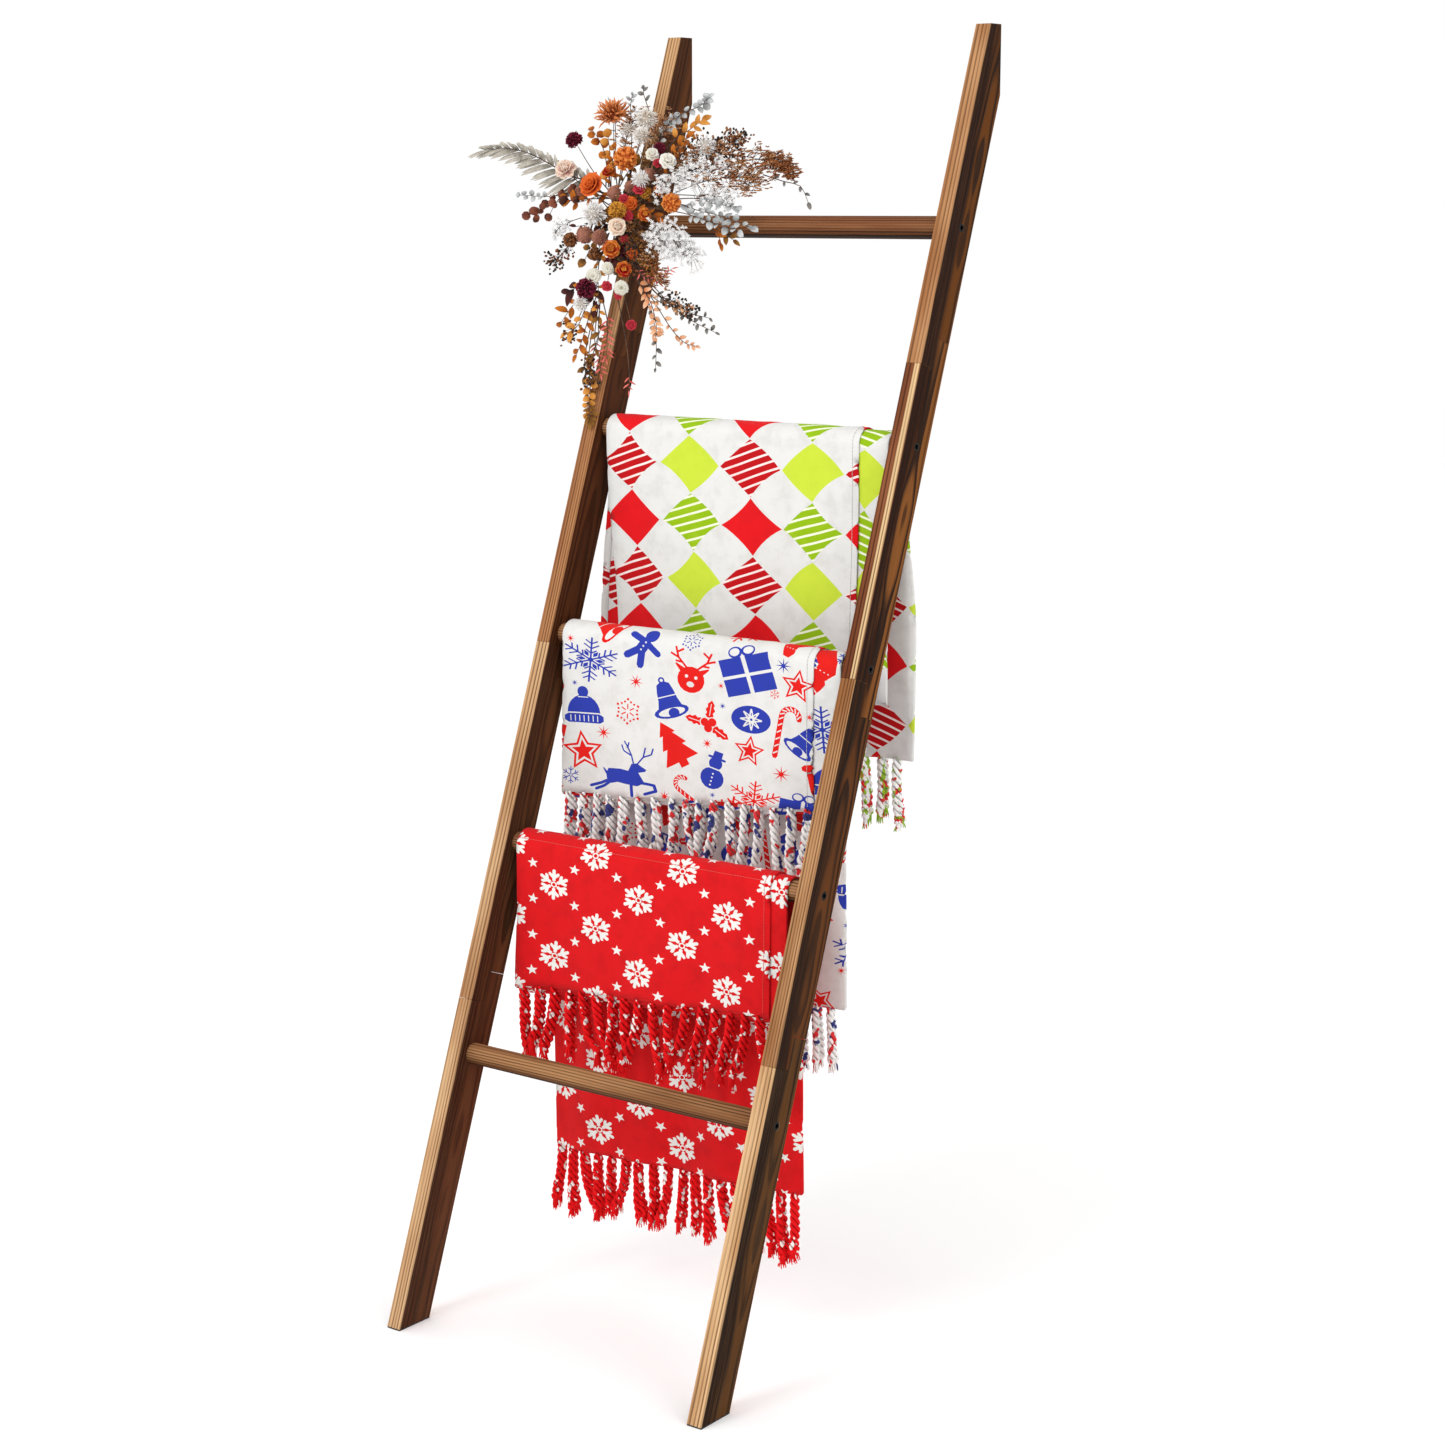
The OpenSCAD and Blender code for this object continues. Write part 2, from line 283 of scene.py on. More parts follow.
def charred_pine(name, front, side, pith, pitch, rail=True, streak=None, charred=0.96):
    """Brushed, torched pine: pale front, dark flanks, hard rings standing proud.

    front is (pale, deeper); side is (next to the front edge, towards the back). A rail's dark
    flanks are char; a rung's dark side is its underside, which is painted shade.
    """
    shader = Shader(name)
    place = shader.object_place()
    x = shader.parts(place)[0]
    along_rail = shader.dot(place, UP_RAIL)
    deep = shader.dot(place, BEHIND)
    along, across = (along_rail, x) if rail else (x, along_rail)
    waviness = 4 * MM
    if rail:
        waviness = shader.plus(3 * MM, shader.times(shader.between(deep, 3 * MM, 18 * MM),
                                                    17 * MM))
    ring, strength = growth_rings(shader, across, deep, along, pith, pitch, waviness)
    places = (across, deep, along)
    fibre = shader.streaks(places, (420, 420, 12), 3, 0.6)
    patch = shader.between(shader.streaks(places, (26, 40, 4), 3), 0.32, 0.68)
    late = shader.ramp(ring, [(0.0, 0), (0.40, 0.10), (0.70, 1), (0.92, 1), (1.0, 0)])
    late = shader.times(late, shader.plus(0.6, shader.times(strength, 0.4)))
    pale = shader.mix(patch, *front)
    if streak:
        edge = shader.between(shader.plus(x, shader.times(fibre, 3 * MM)),
                              STREAK_EDGE * MM, (STREAK_EDGE + 2.5) * MM)
        pale = shader.mix(edge, pale, streak)
    pale = shader.tint(shader.math("POWER", late, 1.7), 0.84, pale, shade(front[1], 0.22))
    rear = shader.plus(deep, shader.times(patch, 16 * MM))
    dark = shader.mix(shader.between(rear, 20 * MM, 40 * MM), *side)
    dark = shader.tint(late, charred, dark, CHAR)
    facing = shader.face_direction()
    sideways = shader.math("ABSOLUTE", shader.parts(facing)[0])
    if rail:
        flank_char_and_underside_shade = shader.between(sideways, 0.55, 0.95)
    else:
        # A rung's underside, facing down the rails, gets the dark side colour: painted shade under
        # the rung.
        flank_char_and_underside_shade = shader.between(shader.times(shader.dot(facing, UP_RAIL), -1.0), 0.25, 0.95)
    colour = shader.mix(flank_char_and_underside_shade, pale, dark)
    frontness = shader.math("ABSOLUTE", shader.dot(facing, BEHIND))
    # Rounded edges between the front and the flanks are lightened: partly rubbed wear, partly a
    # painted highlight.
    edge_wear_and_highlight = shader.times(shader.times(sideways, frontness), 2.0, True)
    edge_wear_and_highlight = shader.times(edge_wear_and_highlight, shader.between(fibre, 0.35, 0.65))
    colour = shader.tint(edge_wear_and_highlight, 0.5, colour, shade(front[0], 1.1))
    colour = shader.tint(shader.between(fibre, 0.35, 0.7), 0.22, colour, shade(front[1], 0.35))
    return shader.finish(colour, shader.plus(shader.times(late, -0.12), 0.66),
                         shader.plus(late, shader.times(fibre, 0.35)), 0.4, 0.8,
                         Specular_IOR_Level=0.05)


def dress(material, *nodes):
    """Puts one material on CAD nodes that stay."""
    for node in nodes:
        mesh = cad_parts[node].data
        mesh.materials.clear()
        mesh.materials.append(material)


# Pale and deeper front, then the flank near the front edge and towards the back
RAIL_COLOURS = {
    "right_rail_top": "c8986c 9a643c 3f2010 7c4719",
    "right_rail_upper": "8f5738 6c3a22 43210d a4652f",
    "right_rail_lower": "c39468 94613a 40220f 76441f",
    "right_rail_bottom": "e2ba8c b78658 38200f 6b431f",
    "left_rail_top": "cda174 a5734c 6b3b1f 7c4826",
    "left_rail_upper": "b88256 8c5837 7a4426 643920",
    "left_rail_lower": "d6ae82 a97952 6b3e26 7f4e2e",
    "left_rail_bottom": "e0b98c b4855c 6b3c25 7f4a2e",
}
RUNG_FRONTS = ["a97952 805034"] + ["b3845c 8c5c3e"] * 3 + ["b18258 855838"]
# Painted shade, put on the underside of every rung
RUNG_UNDERSIDE_SHADE = rgb("5e3820")
RAIL_RING_PITCH, RUNG_RING_PITCH = 3.0, 3.3


def dress_wood():
    for number, (node, codes) in enumerate(RAIL_COLOURS.items()):
        pale, deeper, near, far = [rgb(code) for code in codes.split()]
        far_shade, charred = (0.6, 0.96) if node.startswith("right") else (0.5, 0.75)
        step = 4 * (number % 3)
        pith = (middle(node).x / MM - 22 - step, 34 - step)
        streak = rgb("dcb888") if node == "right_rail_upper" else None
        dress(charred_pine(node + "_wood", (pale, deeper), (shade(near, 0.42),
                                                            shade(far, far_shade)),
                           pith, RAIL_RING_PITCH, streak=streak, charred=charred), node)
    for number, (rung, codes) in enumerate(zip(RUNGS, RUNG_FRONTS), 1):
        pith = (rung.dot(UP_RAIL) / MM - 60, 20)
        # Each rung's underside is darkened with painted shade.
        dress(charred_pine(f"rung_{number}_wood", [rgb(code) for code in codes.split()],
                           (RUNG_UNDERSIDE_SHADE, RUNG_UNDERSIDE_SHADE), pith, RUNG_RING_PITCH, rail=False),
              f"rung_{number}")


def metal(name, code, roughness, wear):
    shader = Shader(name)
    colour = rgb(code)
    fine = shader.noise(shader.object_place(), 900, 3, 0.6)
    scuff = shader.between(shader.noise(shader.object_place(), 260, 4, 0.7), 0.5, 0.75)
    return shader.finish(shader.tint(scuff, wear, colour, shade(colour, 2.2)),
                         shader.plus(shader.times(fine, 0.2), roughness), fine, 0.04, 0.5,
                         Metallic=1.0)


def rubber(name):
    shader = Shader(name)
    grit = shader.noise(shader.object_place(), 1400, 4, 0.7)
    return shader.finish(shader.mix(grit, rgb("17181a"), rgb("2b2c2e")), 0.82, grit, 0.1, 0.8)


def dress_fittings():
    dress(metal("black_oxide", "1c1c1e", 0.38, 0.35), "left_rung_bolts", "right_rung_bolts")
    dress(metal("insert_brass", "a98a4a", 0.3, 0.2), "rung_inserts")
    dress(metal("screw_steel", "8d8f92", 0.3, 0.3), "lap_screws")
    dress(rubber("foot_rubber"), "left_foot_pad", "right_foot_pad")


# ---- meshes made in code ----

def belongs(piece, body, slot, node=None):
    """Attaches a piece to the body that it rides on and hides the CAD node that it stands for; slot
    is not used.
    """
    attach(piece, body)
    if node:
        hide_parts(node)


class Build:
    """Gathers vertices and faces, in metres, and makes one smooth-shaded piece of them."""

    def __init__(self):
        self.points, self.faces, self.inks, self.flat = [], [], [], []

    def add(self, points, faces, ink=0, flat=None):
        start = len(self.points)
        self.points += points
        self.faces += [tuple(start + i for i in face) for face in faces]
        self.inks += [ink] * len(faces)
        self.flat += flat or [(0.0, 0.0)] * len(points)

    def piece(self, name, materials, thickness=None):
        mesh = bpy.data.meshes.new(name)
        mesh.from_pydata(self.points, [], self.faces)
        layer = mesh.uv_layers.new(name="flat")
        layer.data.foreach_set("uv", [value for loop in mesh.loops
                                      for value in self.flat[loop.vertex_index]])
        for material in materials:
            mesh.materials.append(material)
        mesh.polygons.foreach_set("material_index", self.inks)
        mesh.polygons.foreach_set("use_smooth", [True] * len(mesh.polygons))
        mesh.update()
        made = bpy.data.objects.new(name, mesh)
        bpy.context.scene.collection.objects.link(made)
        if thickness:
            solid = made.modifiers.new("thickness", "SOLIDIFY")
            solid.thickness = thickness * MM
            solid.offset = 0
        return made


def tube(line, radii, sides=7):
    """Points and faces of a closed round tube along a list of vectors."""
    points, faces = [], []
    count = len(line)
    direction = (line[1] - line[0]).normalized()
    side = direction.orthogonal().normalized()
    for i, centre in enumerate(line):
        ahead = line[min(i + 1, count - 1)] - line[max(i - 1, 0)]
        if ahead.length > 1e-9:
            direction = ahead.normalized()
        side = (side - direction * side.dot(direction)).normalized()
        other = direction.cross(side)
        radius = radii[i] if isinstance(radii, list) else radii
        for j in range(sides):
            turn = 2 * math.pi * j / sides
            points.append(centre + (side * math.cos(turn) + other * math.sin(turn)) * radius)
    for i in range(count - 1):
        for j in range(sides):
            a, b = i * sides + j, i * sides + (j + 1) % sides
            faces.append((a, b, b + sides, a + sides))
    faces.append(tuple(range(sides - 1, -1, -1)))
    faces.append(tuple(range((count - 1) * sides, count * sides)))
    return points, faces


# ---- printed shapes, in millimetres on the flat cloth ----

def circle(count, turn=0.0):
    """Evenly spaced directions as (cosine, sine) pairs."""
    angles = [turn + 2 * math.pi * i / count for i in range(count)]
    return [(math.cos(angle), math.sin(angle)) for angle in angles]


def ring_points(x, y, rx, ry=None, count=16):
    return [(x + rx * c, y + (ry or rx) * s) for c, s in circle(count)]


def rings(places, radius, count=16):
    return [ring_points(x, y, radius, count=count) for x, y in places]


def bar(a, b, width, end_width=None):
    """A straight stroke: a thin one has square ends, a thick one round ends."""
    ends = 1 if width < 2.5 else 3
    ax, ay, bx, by = *a, *b
    heading = math.atan2(by - ay, bx - ax)
    points = []
    for (x, y), half, start in (((bx, by), (end_width or width) / 2, -math.pi / 2),
                                ((ax, ay), width / 2, math.pi / 2)):
        for i in range(ends + 1):
            turn = heading + start + math.pi * i / ends
            points.append((x + half * math.cos(turn), y + half * math.sin(turn)))
    return points


def star_points(points, outer, inner):
    radii = [outer, inner] * points
    return [(r * c, r * s) for r, (c, s) in zip(radii, circle(2 * points, -math.pi / 2))]


def strokes(lines, width):
    """Bent strokes as overlapping straight ones."""
    return [bar(a, b, width) for line in lines for a, b in zip(line, line[1:])]


def spin(shape, angle):
    c, s = math.cos(angle), math.sin(angle)
    return [(x * c - y * s, x * s + y * c) for x, y in shape]


def spun(shapes, count):
    return [spin(shape, 2 * math.pi * i / count) for i in range(count) for shape in shapes]


def mirrored(half):
    return half + [(-x, y) for x, y in reversed(half)]


def solid(*shapes):
    return [(1, shape) for shape in shapes]


def gaps(*shapes):
    return [(0, shape) for shape in shapes]


# A motif is a list of (ink, outline). Ink 0 is the cloth, 1 the motif's colour. Y is downward.

def fine_snowflake():
    arm = [bar((0, 2), (0, 30), 1.9)]
    arm += [bar((0, r), (side * n, r + n * 0.75), 1.6)
            for r, n in ((9, 5.5), (15, 7.5), (21.5, 6)) for side in (-1, 1)]
    diamond = spin([(0, 4.5), (2.4, 9), (0, 14), (-2.4, 9)], math.pi / 6)
    shapes = spun(arm + [diamond], 6) + rings([(0, 0)], 3.0, 6)
    return solid(*[[(x * 1.3, y * 0.93) for x, y in shape] for shape in shapes])


def dotted_snowflake():
    dots = rings([(-3.4, 10), (3.4, 10)], 1.3, 6) + rings([(0, 13)], 1.5, 6)
    return solid(*spun([bar((0, 2.5), (0, 8), 1.3)] + dots, 6))


def small_snowflake():
    return solid(*spun([bar((0, 1), (0, 10), 1.1), bar((0, 5.5), (3, 8), 0.9),
                        bar((0, 5.5), (-3, 8), 0.9)], 6))


def needle_star():
    return solid(star_points(8, 9.5, 2.2))


def dot_star():
    return solid(star_points(8, 4.6, 1.2))


def outlined_star():
    return (solid(star_points(5, 24, 11.5)) + gaps(star_points(5, 18.6, 8.6))
            + solid(star_points(5, 13.5, 6)))


def biscuit_figure():
    return solid(ring_points(0, -15, 7.5), bar((0, -6), (0, 6), 12),
                 bar((-3, -5), (-18, -3), 7), bar((3, -5), (18, -3), 7),
                 bar((-2, 6), (-9, 20), 8), bar((2, 6), (9, 20), 8)) + gaps(
        *rings([(0, -5), (0, 0), (0, 5)], 1.1, 8))


def antlers(width, height):
    lines = [[(side * width * x, -height * y) for x, y in line] for side in (-1, 1) for line in (
        [(0.3, 0), (0.8, 0.45), (1, 1)], [(0.8, 0.45), (1.25, 0.62)],
        [(0.9, 0.72), (0.55, 0.95)], [(0.55, 0.24), (0.95, 0.25)])]
    return strokes(lines, 2.2)


def deer_head():
    ears = [bar((side * 10, 0), (side * 17, -5), 6, 2) for side in (-1, 1)]
    horns = [[(x, y - 3) for x, y in piece] for piece in antlers(19, 20)]
    return solid(ring_points(0, 9, 14.5, 14), *ears, *horns) + gaps(
        *rings([(-5, 6), (5, 6)], 1.8, 10), ring_points(0, 14, 4, 3, 12))


def bell():
    body = mirrored([(3, -22), (8, -19), (10.5, -10), (12, 0), (15, 9), (22, 15)])
    return (solid(body, ring_points(0, 15, 22, 8)) + gaps(ring_points(0, 15.5, 17, 5))
            + solid(ring_points(2, 17, 7, 6), ring_points(0, -24, 4, count=14))
            + gaps(ring_points(0, -24, 2, count=10), bar((-12, -4), (12, -4), 1.3)))


def gift_box():
    squares = [[(x, y), (x + 23, y), (x + 23, y + 17), (x, y + 17)]
               for x, y in ((-25, -18), (2, -18), (-25, 2), (2, 2))]
    loops = [ring_points(side * 6.2, -22.8, 6.8, 5.8) for side in (-1, 1)]
    holes = [ring_points(side * 6.6, -23.2, 4.8, 3.8) for side in (-1, 1)]
    return solid(*loops) + gaps(*holes) + solid(*squares)


def fir_tree():
    half = [(9, -16), (5.5, -16), (14, -2), (9, -2), (20, 14), (5, 14), (5, 20)]
    return solid([(0, -30)] + mirrored(half))


def candy_cane():
    hook = [(12 - 12 * math.cos(math.pi * i / 7), -24 - 12 * math.sin(math.pi * i / 7))
            for i in range(8)]
    line = [(0, y) for y in range(34, -17, -10)] + hook
    stripes = []
    for (ax, ay), (bx, by) in zip(line, line[1:]):
        heading = math.atan2(by - ay, bx - ax) + 0.9
        x, y = (ax + bx) / 2, (ay + by) / 2
        reach = (3.6 * math.cos(heading), 3.6 * math.sin(heading))
        stripes.append(bar((x - reach[0], y - reach[1]), (x + reach[0], y + reach[1]), 1.7))
    return solid(*strokes([line], 7.6)) + gaps(*stripes)


def holly():
    edge = [(3, 9), (6, 12), (4.4, 16), (7, 20), (4.2, 24), (5, 28)]
    leaf_shape = edge + [(0, 34)] + [(-x, y) for x, y in edge[::-1]]
    rib = bar((0, 12), (0, 29), 1.0)
    leaves, ribs = [[spin(shape, turn) for turn in (0.15 + math.pi, 1.75, -1.0)]
                    for shape in (leaf_shape, rib)]
    berries = [(-5, -2), (6, -3), (0, 6)]
    return solid(*leaves) + gaps(*ribs, *rings(berries, 7.2)) + solid(*rings(berries, 6))


def stocking():
    body = [(-8, -18), (10, -18), (9, 4), (18, 9), (20, 16), (15, 21), (-2, 18), (-8, 8)]
    toe = [bar((4 + i * 2.6, 16 - i * 3), (5 + i * 2.6, 15.2 - i * 3), 1.0) for i in range(4)]
    return solid(body, bar((-9, -20), (11, -20), 8)) + gaps(bar((-8, -14.5), (10, -14.5), 1.3),
                                                            *toe)


def ball_bauble():
    return (solid(ring_points(0, 0, 26, 18.5, 28))
            + gaps(*spun([bar((0, 3), (0, 13.5), 6.6, 2.4)], 8))
            + solid(*spun([bar((0, 5), (0, 9), 1.2)], 8), *rings([(0, 0)], 1.8, 8)))


def snow_figure():
    return solid(ring_points(0, 8, 15, 14), ring_points(0, -12, 8.5),
                 bar((-10, -19), (10, -19), 3), [(-6, -19), (-5, -28), (6, -28), (6, -19)]
                 ) + gaps(*rings([(0, 2), (0, 7), (0, 12), (0, 17)], 1.2, 8),
                          bar((-7, -5), (7, -5), 1.6))


def bobble_hat():
    turns = [math.pi + math.pi * i / 12 for i in range(13)]
    dome = [(22 * math.cos(t), 6 + 24 * math.sin(t)) for t in turns]
    ribs = [bar((x, 9), (x, 17), 1.2) for x in range(-18, 19, 6)]
    return solid(dome, bar((-21, 13), (21, 13), 12), ring_points(0, -22, 7.5)) + gaps(
        bar((-21, 6), (21, 6), 1.4), bar((-7, -15), (7, -15), 1.2), *ribs)


def leaping_deer():
    trunk = [(-20, 1), (-17, -6), (0, -8), (10, -7), (13.5, -16), (20, -17.5), (31, -10.5),
             (29.5, -8), (22, -6), (25, -1), (29, 6), (21, 11), (10, 10), (-3, 9), (-12, 12),
             (-18, 9)]
    legs = [[(-15, 8), (-26, 14), (-41, 20)], [(-12, 9), (-22, 17), (-34, 23)],
            [(24, 6), (39, 8), (41, 15), (29, 20)], [(14, 8), (15, 24)]]
    horns = [[(16, -16), (13, -26), (8, -36), (9, -42)], [(13, -26), (3, -31), (0, -38)],
             [(8, -36), (3, -43)], [(20, -16), (27, -26), (36, -30), (38, -38)],
             [(27, -26), (29, -38)]]
    return solid(trunk, bar((-19, 0), (-24, -5), 4, 1.5), *strokes(legs, 3.6),
                 *strokes(horns, 1.8))


def chunky_snowflake():
    arm = mirrored([(1.9, 5.0), (1.9, 7.7), (5.9, 11.2), (6.5, 13.3), (4.9, 14.9),
                    (1.9, 12.6), (1.9, 17.3), (0.8, 18.5)])
    outline = [point for i in range(6) for point in spin(arm, -math.pi / 3 * i)]
    return solid(outline) + gaps(*rings([(0, 0)], 2.3, 6))


def small_star():
    return solid(star_points(5, 5.6, 2.3))


def place_motif(motif, x, y, size, turn, ink=1, wide=1.24):
    """The motif's outlines at a place on the flat cloth, printed wider than tall."""
    placed = []
    for kind, shape in motif:
        shape = spin([(px * size, py * size) for px, py in shape], math.radians(turn))
        placed.append((ink if kind else 0, [(px * wide + x, py + y) for px, py in shape]))
    return placed


# ---- prints ----

RED, BLUE = 1, 2
HOLIDAY_TILE = (438.0, 236.0)
HOLIDAY_STEP = 45.0    # each repeat across starts this much higher
# Motif, place across from the left fold, place down the front, size, turn, ink
HOLIDAY_LAYOUT = [
    (bell, 64, -23, 0.95, -55, RED), (fine_snowflake, 44, 26, 1.0, 4, BLUE),
    (biscuit_figure, 127, 1, 1.1, 34, BLUE), (dotted_snowflake, 199, -12, 0.85, 0, BLUE),
    (small_snowflake, 262, -42, 2.5, 10, RED), (dot_star, 316, -30, 1.0, 0, RED),
    (stocking, 350, -30, 1.0, 66, RED), (deer_head, 201, 25, 1.15, 6, RED),
    (gift_box, 284, 20, 1.2, -17, BLUE), (needle_star, 336, 5, 1.0, 0, BLUE),
    (outlined_star, 357, 27, 0.86, 8, RED), (needle_star, 116, 46, 1.0, 10, RED),
    (dot_star, 19, 57, 1.0, 0, BLUE), (bell, 165, 63, 1.0, -20, BLUE),
    (bobble_hat, 34, 88, 0.95, -4, BLUE), (dotted_snowflake, 104, 84, 1.15, 0, RED),
    (dot_star, 248, 62, 1.0, 0, BLUE), (ball_bauble, 290, 74, 0.9, 0, BLUE),
    (candy_cane, 331, 84, 0.85, 8, RED), (bell, 367, 92, 0.85, 38, BLUE),
    (holly, 227, 86, 0.86, 0, RED), (needle_star, 66, 115, 1.05, 0, RED),
    (outlined_star, 34, 142, 1.12, -8, RED), (leaping_deer, 97, 164, 1.0, 0, BLUE),
    (fir_tree, 177, 122, 1.18, -32, RED), (dot_star, 226, 110, 1.5, 0, RED),
    (outlined_star, 288, 112, 0.8, 5, RED), (snow_figure, 236, 144, 0.95, 14, BLUE),
    (small_snowflake, 14, 175, 1.1, 0, BLUE), (candy_cane, 200, 181, 0.72, -60, RED),
    (dot_star, 160, 184, 1.6, 0, RED), (fine_snowflake, 298, 171, 0.88, 4, RED),
    (needle_star, 336, 134, 1.1, 0, RED), (stocking, 383, 142, 1.0, -10, RED),
    (gift_box, 362, 182, 0.95, 8, BLUE), (dot_star, 245, 38, 1.0, 0, RED),
    (small_snowflake, 324, 40, 0.6, 0, RED), (dot_star, 235, 172, 0.9, 0, BLUE),
    (dot_star, 374, 62, 1.1, 0, RED), (needle_star, 60, 200, 0.8, 0, BLUE),
    (dot_star, 12, 2, 1.2, 0, RED), (outlined_star, 414, 20, 0.9, 12, RED),
    (gift_box, 418, 78, 0.8, 10, RED), (dot_star, 400, 120, 1.3, 0, RED),
    (outlined_star, 420, 152, 0.8, -6, RED), (dot_star, 404, 192, 1.5, 0, BLUE),
]
FOLDED_STOCKING = (stocking, 40, -60, 1.25, 25, RED)   # only on the folded-in part


def repeats(low, high, pitch, before, after, high_pitch=None):
    """The numbers of the repeats that cover a reach, with some to spare at each end."""
    return range(math.floor(low / pitch) - before,
                 math.ceil(high / (high_pitch or pitch)) + after)


def holiday_print(low_x, high_x, low_y, high_y):
    """Seasonal motifs in red and blue, repeated over the whole cloth."""
    shapes = []
    wide, tall = HOLIDAY_TILE
    for i in repeats(low_x, high_x, wide, 0, 0):
        for j in repeats(low_y, high_y, tall, 1, 1):
            for motif, x, y, size, turn, ink in HOLIDAY_LAYOUT + [FOLDED_STOCKING] * (i == -1):
                shapes += place_motif(motif(), x + i * wide, y + j * tall - i * HOLIDAY_STEP,
                                      size, turn, ink)
    return shapes


FLAKE_ACROSS, FLAKE_DOWN = 66.0, 90.0
FIRST_FLAKE, FIRST_STAR = (59, 41), (26, 18)


def snowflake_print(low_x, high_x, low_y, high_y):
    """White snowflakes in staggered columns with small stars between them."""
    shapes = []
    turns = random.Random(5)
    for i in repeats(low_x, high_x, FLAKE_ACROSS, 1, 1):
        for j in repeats(low_y, high_y, FLAKE_DOWN, 1, 1):
            y = FIRST_FLAKE[1] + FLAKE_DOWN * j + (FLAKE_DOWN / 2 if i % 2 else 0)
            shapes += place_motif(chunky_snowflake(), FIRST_FLAKE[0] + FLAKE_ACROSS * i, y,
                                  1.03, turns.uniform(0, 12), wide=1.3)
            for half in (0, 1):
                shapes += place_motif(small_star(), FIRST_STAR[0] + FLAKE_ACROSS * i,
                                      FIRST_STAR[1] + FLAKE_DOWN * (j + half / 2), 1.2,
                                      turns.uniform(-8, 8), wide=1.3)
    return shapes


DIAMOND_ACROSS, DIAMOND_DOWN = 92.5, 71.0
FOLDED_ACROSS = 85.5   # the print runs a little closer on the folded-in part
FIRST_DIAMOND = 37     # middle of the first diamond, across and down
SIDE_STEPS = 6         # pieces that each bowed side is made of
SOLID_RED, STRIPED_RED, LIME, STRIPED_GREEN = 1, 2, 3, 4


def diamond_shape(x, y, bulges):
    """A diamond whose four sides each bow a little in or out."""
    across = DIAMOND_ACROSS if x > FIRST_DIAMOND else FOLDED_ACROSS
    half = (across / 2 - 1.2, DIAMOND_DOWN / 2 - 0.6)
    tips = [(half[0], 0), (0, half[1]), (-half[0], 0), (0, -half[1])]
    points = []
    for side, bulge in enumerate(bulges):
        (ax, ay), (bx, by) = tips[side], tips[(side + 1) % 4]
        length = math.hypot(bx - ax, by - ay)
        out = ((by - ay) / length, -(bx - ax) / length)
        for i in range(SIDE_STEPS):
            t = i / SIDE_STEPS
            lift = bulge * 4 * t * (1 - t)
            points.append((x + blend(ax, bx, t) + out[0] * lift,
                           y + blend(ay, by, t) + out[1] * lift))
    return points


def diamond_print(low_x, high_x, low_y, high_y):
    """Harlequin diamonds: red columns and green columns, plain and striped in turn."""
    shapes = []
    bows = random.Random(11)
    for i in repeats(low_x, high_x, FOLDED_ACROSS, 1, 1, DIAMOND_ACROSS):
        for j in repeats(low_y, high_y, DIAMOND_DOWN, 2, 1):
            ink = ((STRIPED_RED, SOLID_RED), (LIME, STRIPED_GREEN))[i % 2][j % 2]
            bulges = [bows.uniform(-4.5, 4.0) for _ in range(4)]
            x = FIRST_DIAMOND + i * (DIAMOND_ACROSS if i > 0 else FOLDED_ACROSS)
            shapes.append((ink, diamond_shape(x, FIRST_DIAMOND + DIAMOND_DOWN * j, bulges)))
    return shapes


# ---- throws ----

CLOTH = 0.9            # thickness of the woven cloth
LAYERS = (1.0, 3.3, 5.6)   # middle of each folded layer above the rung's surface
HEM = 9.0              # width of the turned and stitched side hems
HEM_GAP = 1.05         # between the middles of a hem's two layers
RUNG_HALF = 13.0       # half the rung's height
RUNG_FLAT = 2.0        # half the flat between the rung's two round edges
FRONT_TURN = math.pi / 2 + LEAN
BACK_TURN = math.pi / 2 - LEAN
PRINT_START = 37.0     # from the middle of the wrap to the level of the rung's axis
SIZE_COLUMN = 60       # where across the cloth its length is measured
WRAP_SPACING, PRINT_SPACING = 2.6, 9.5   # of the mesh's rows over the rung and elsewhere
OUTLINE_STEP = 8.0     # longest side of a printed outline
OUTLINE_CLEAR = 2.4    # no mesh point lies closer than this to an outline's corner
INK_CELL = 40.0        # of the grid in which a triangle's outline is looked up
STITCH_INSIDE, STITCH_PITCH, STITCH_LENGTH, THREAD_RADIUS = 1.4, 4.4, 3.4, 0.38
STITCH_PROFILE = ((-0.5, 0.35), (-0.3, 0.75), (0.3, 0.75), (0.5, 0.35))   # share, height
CROSS_STITCHES_AT = 27
TASSEL_PITCH, TASSEL_LENGTH = 22.5, 92.0
PLY_RADIUS, PLY_SIDES, PLY_TURN = 2.5, 7, 21   # PLY_TURN is the length of one full twist
PLY_POINTS, KNOT_POINTS, KNOT_RADIUS = 30, 14, 2.3
STRANDS, STRAND_RADIUS = 7, 1.15               # of the frayed tip


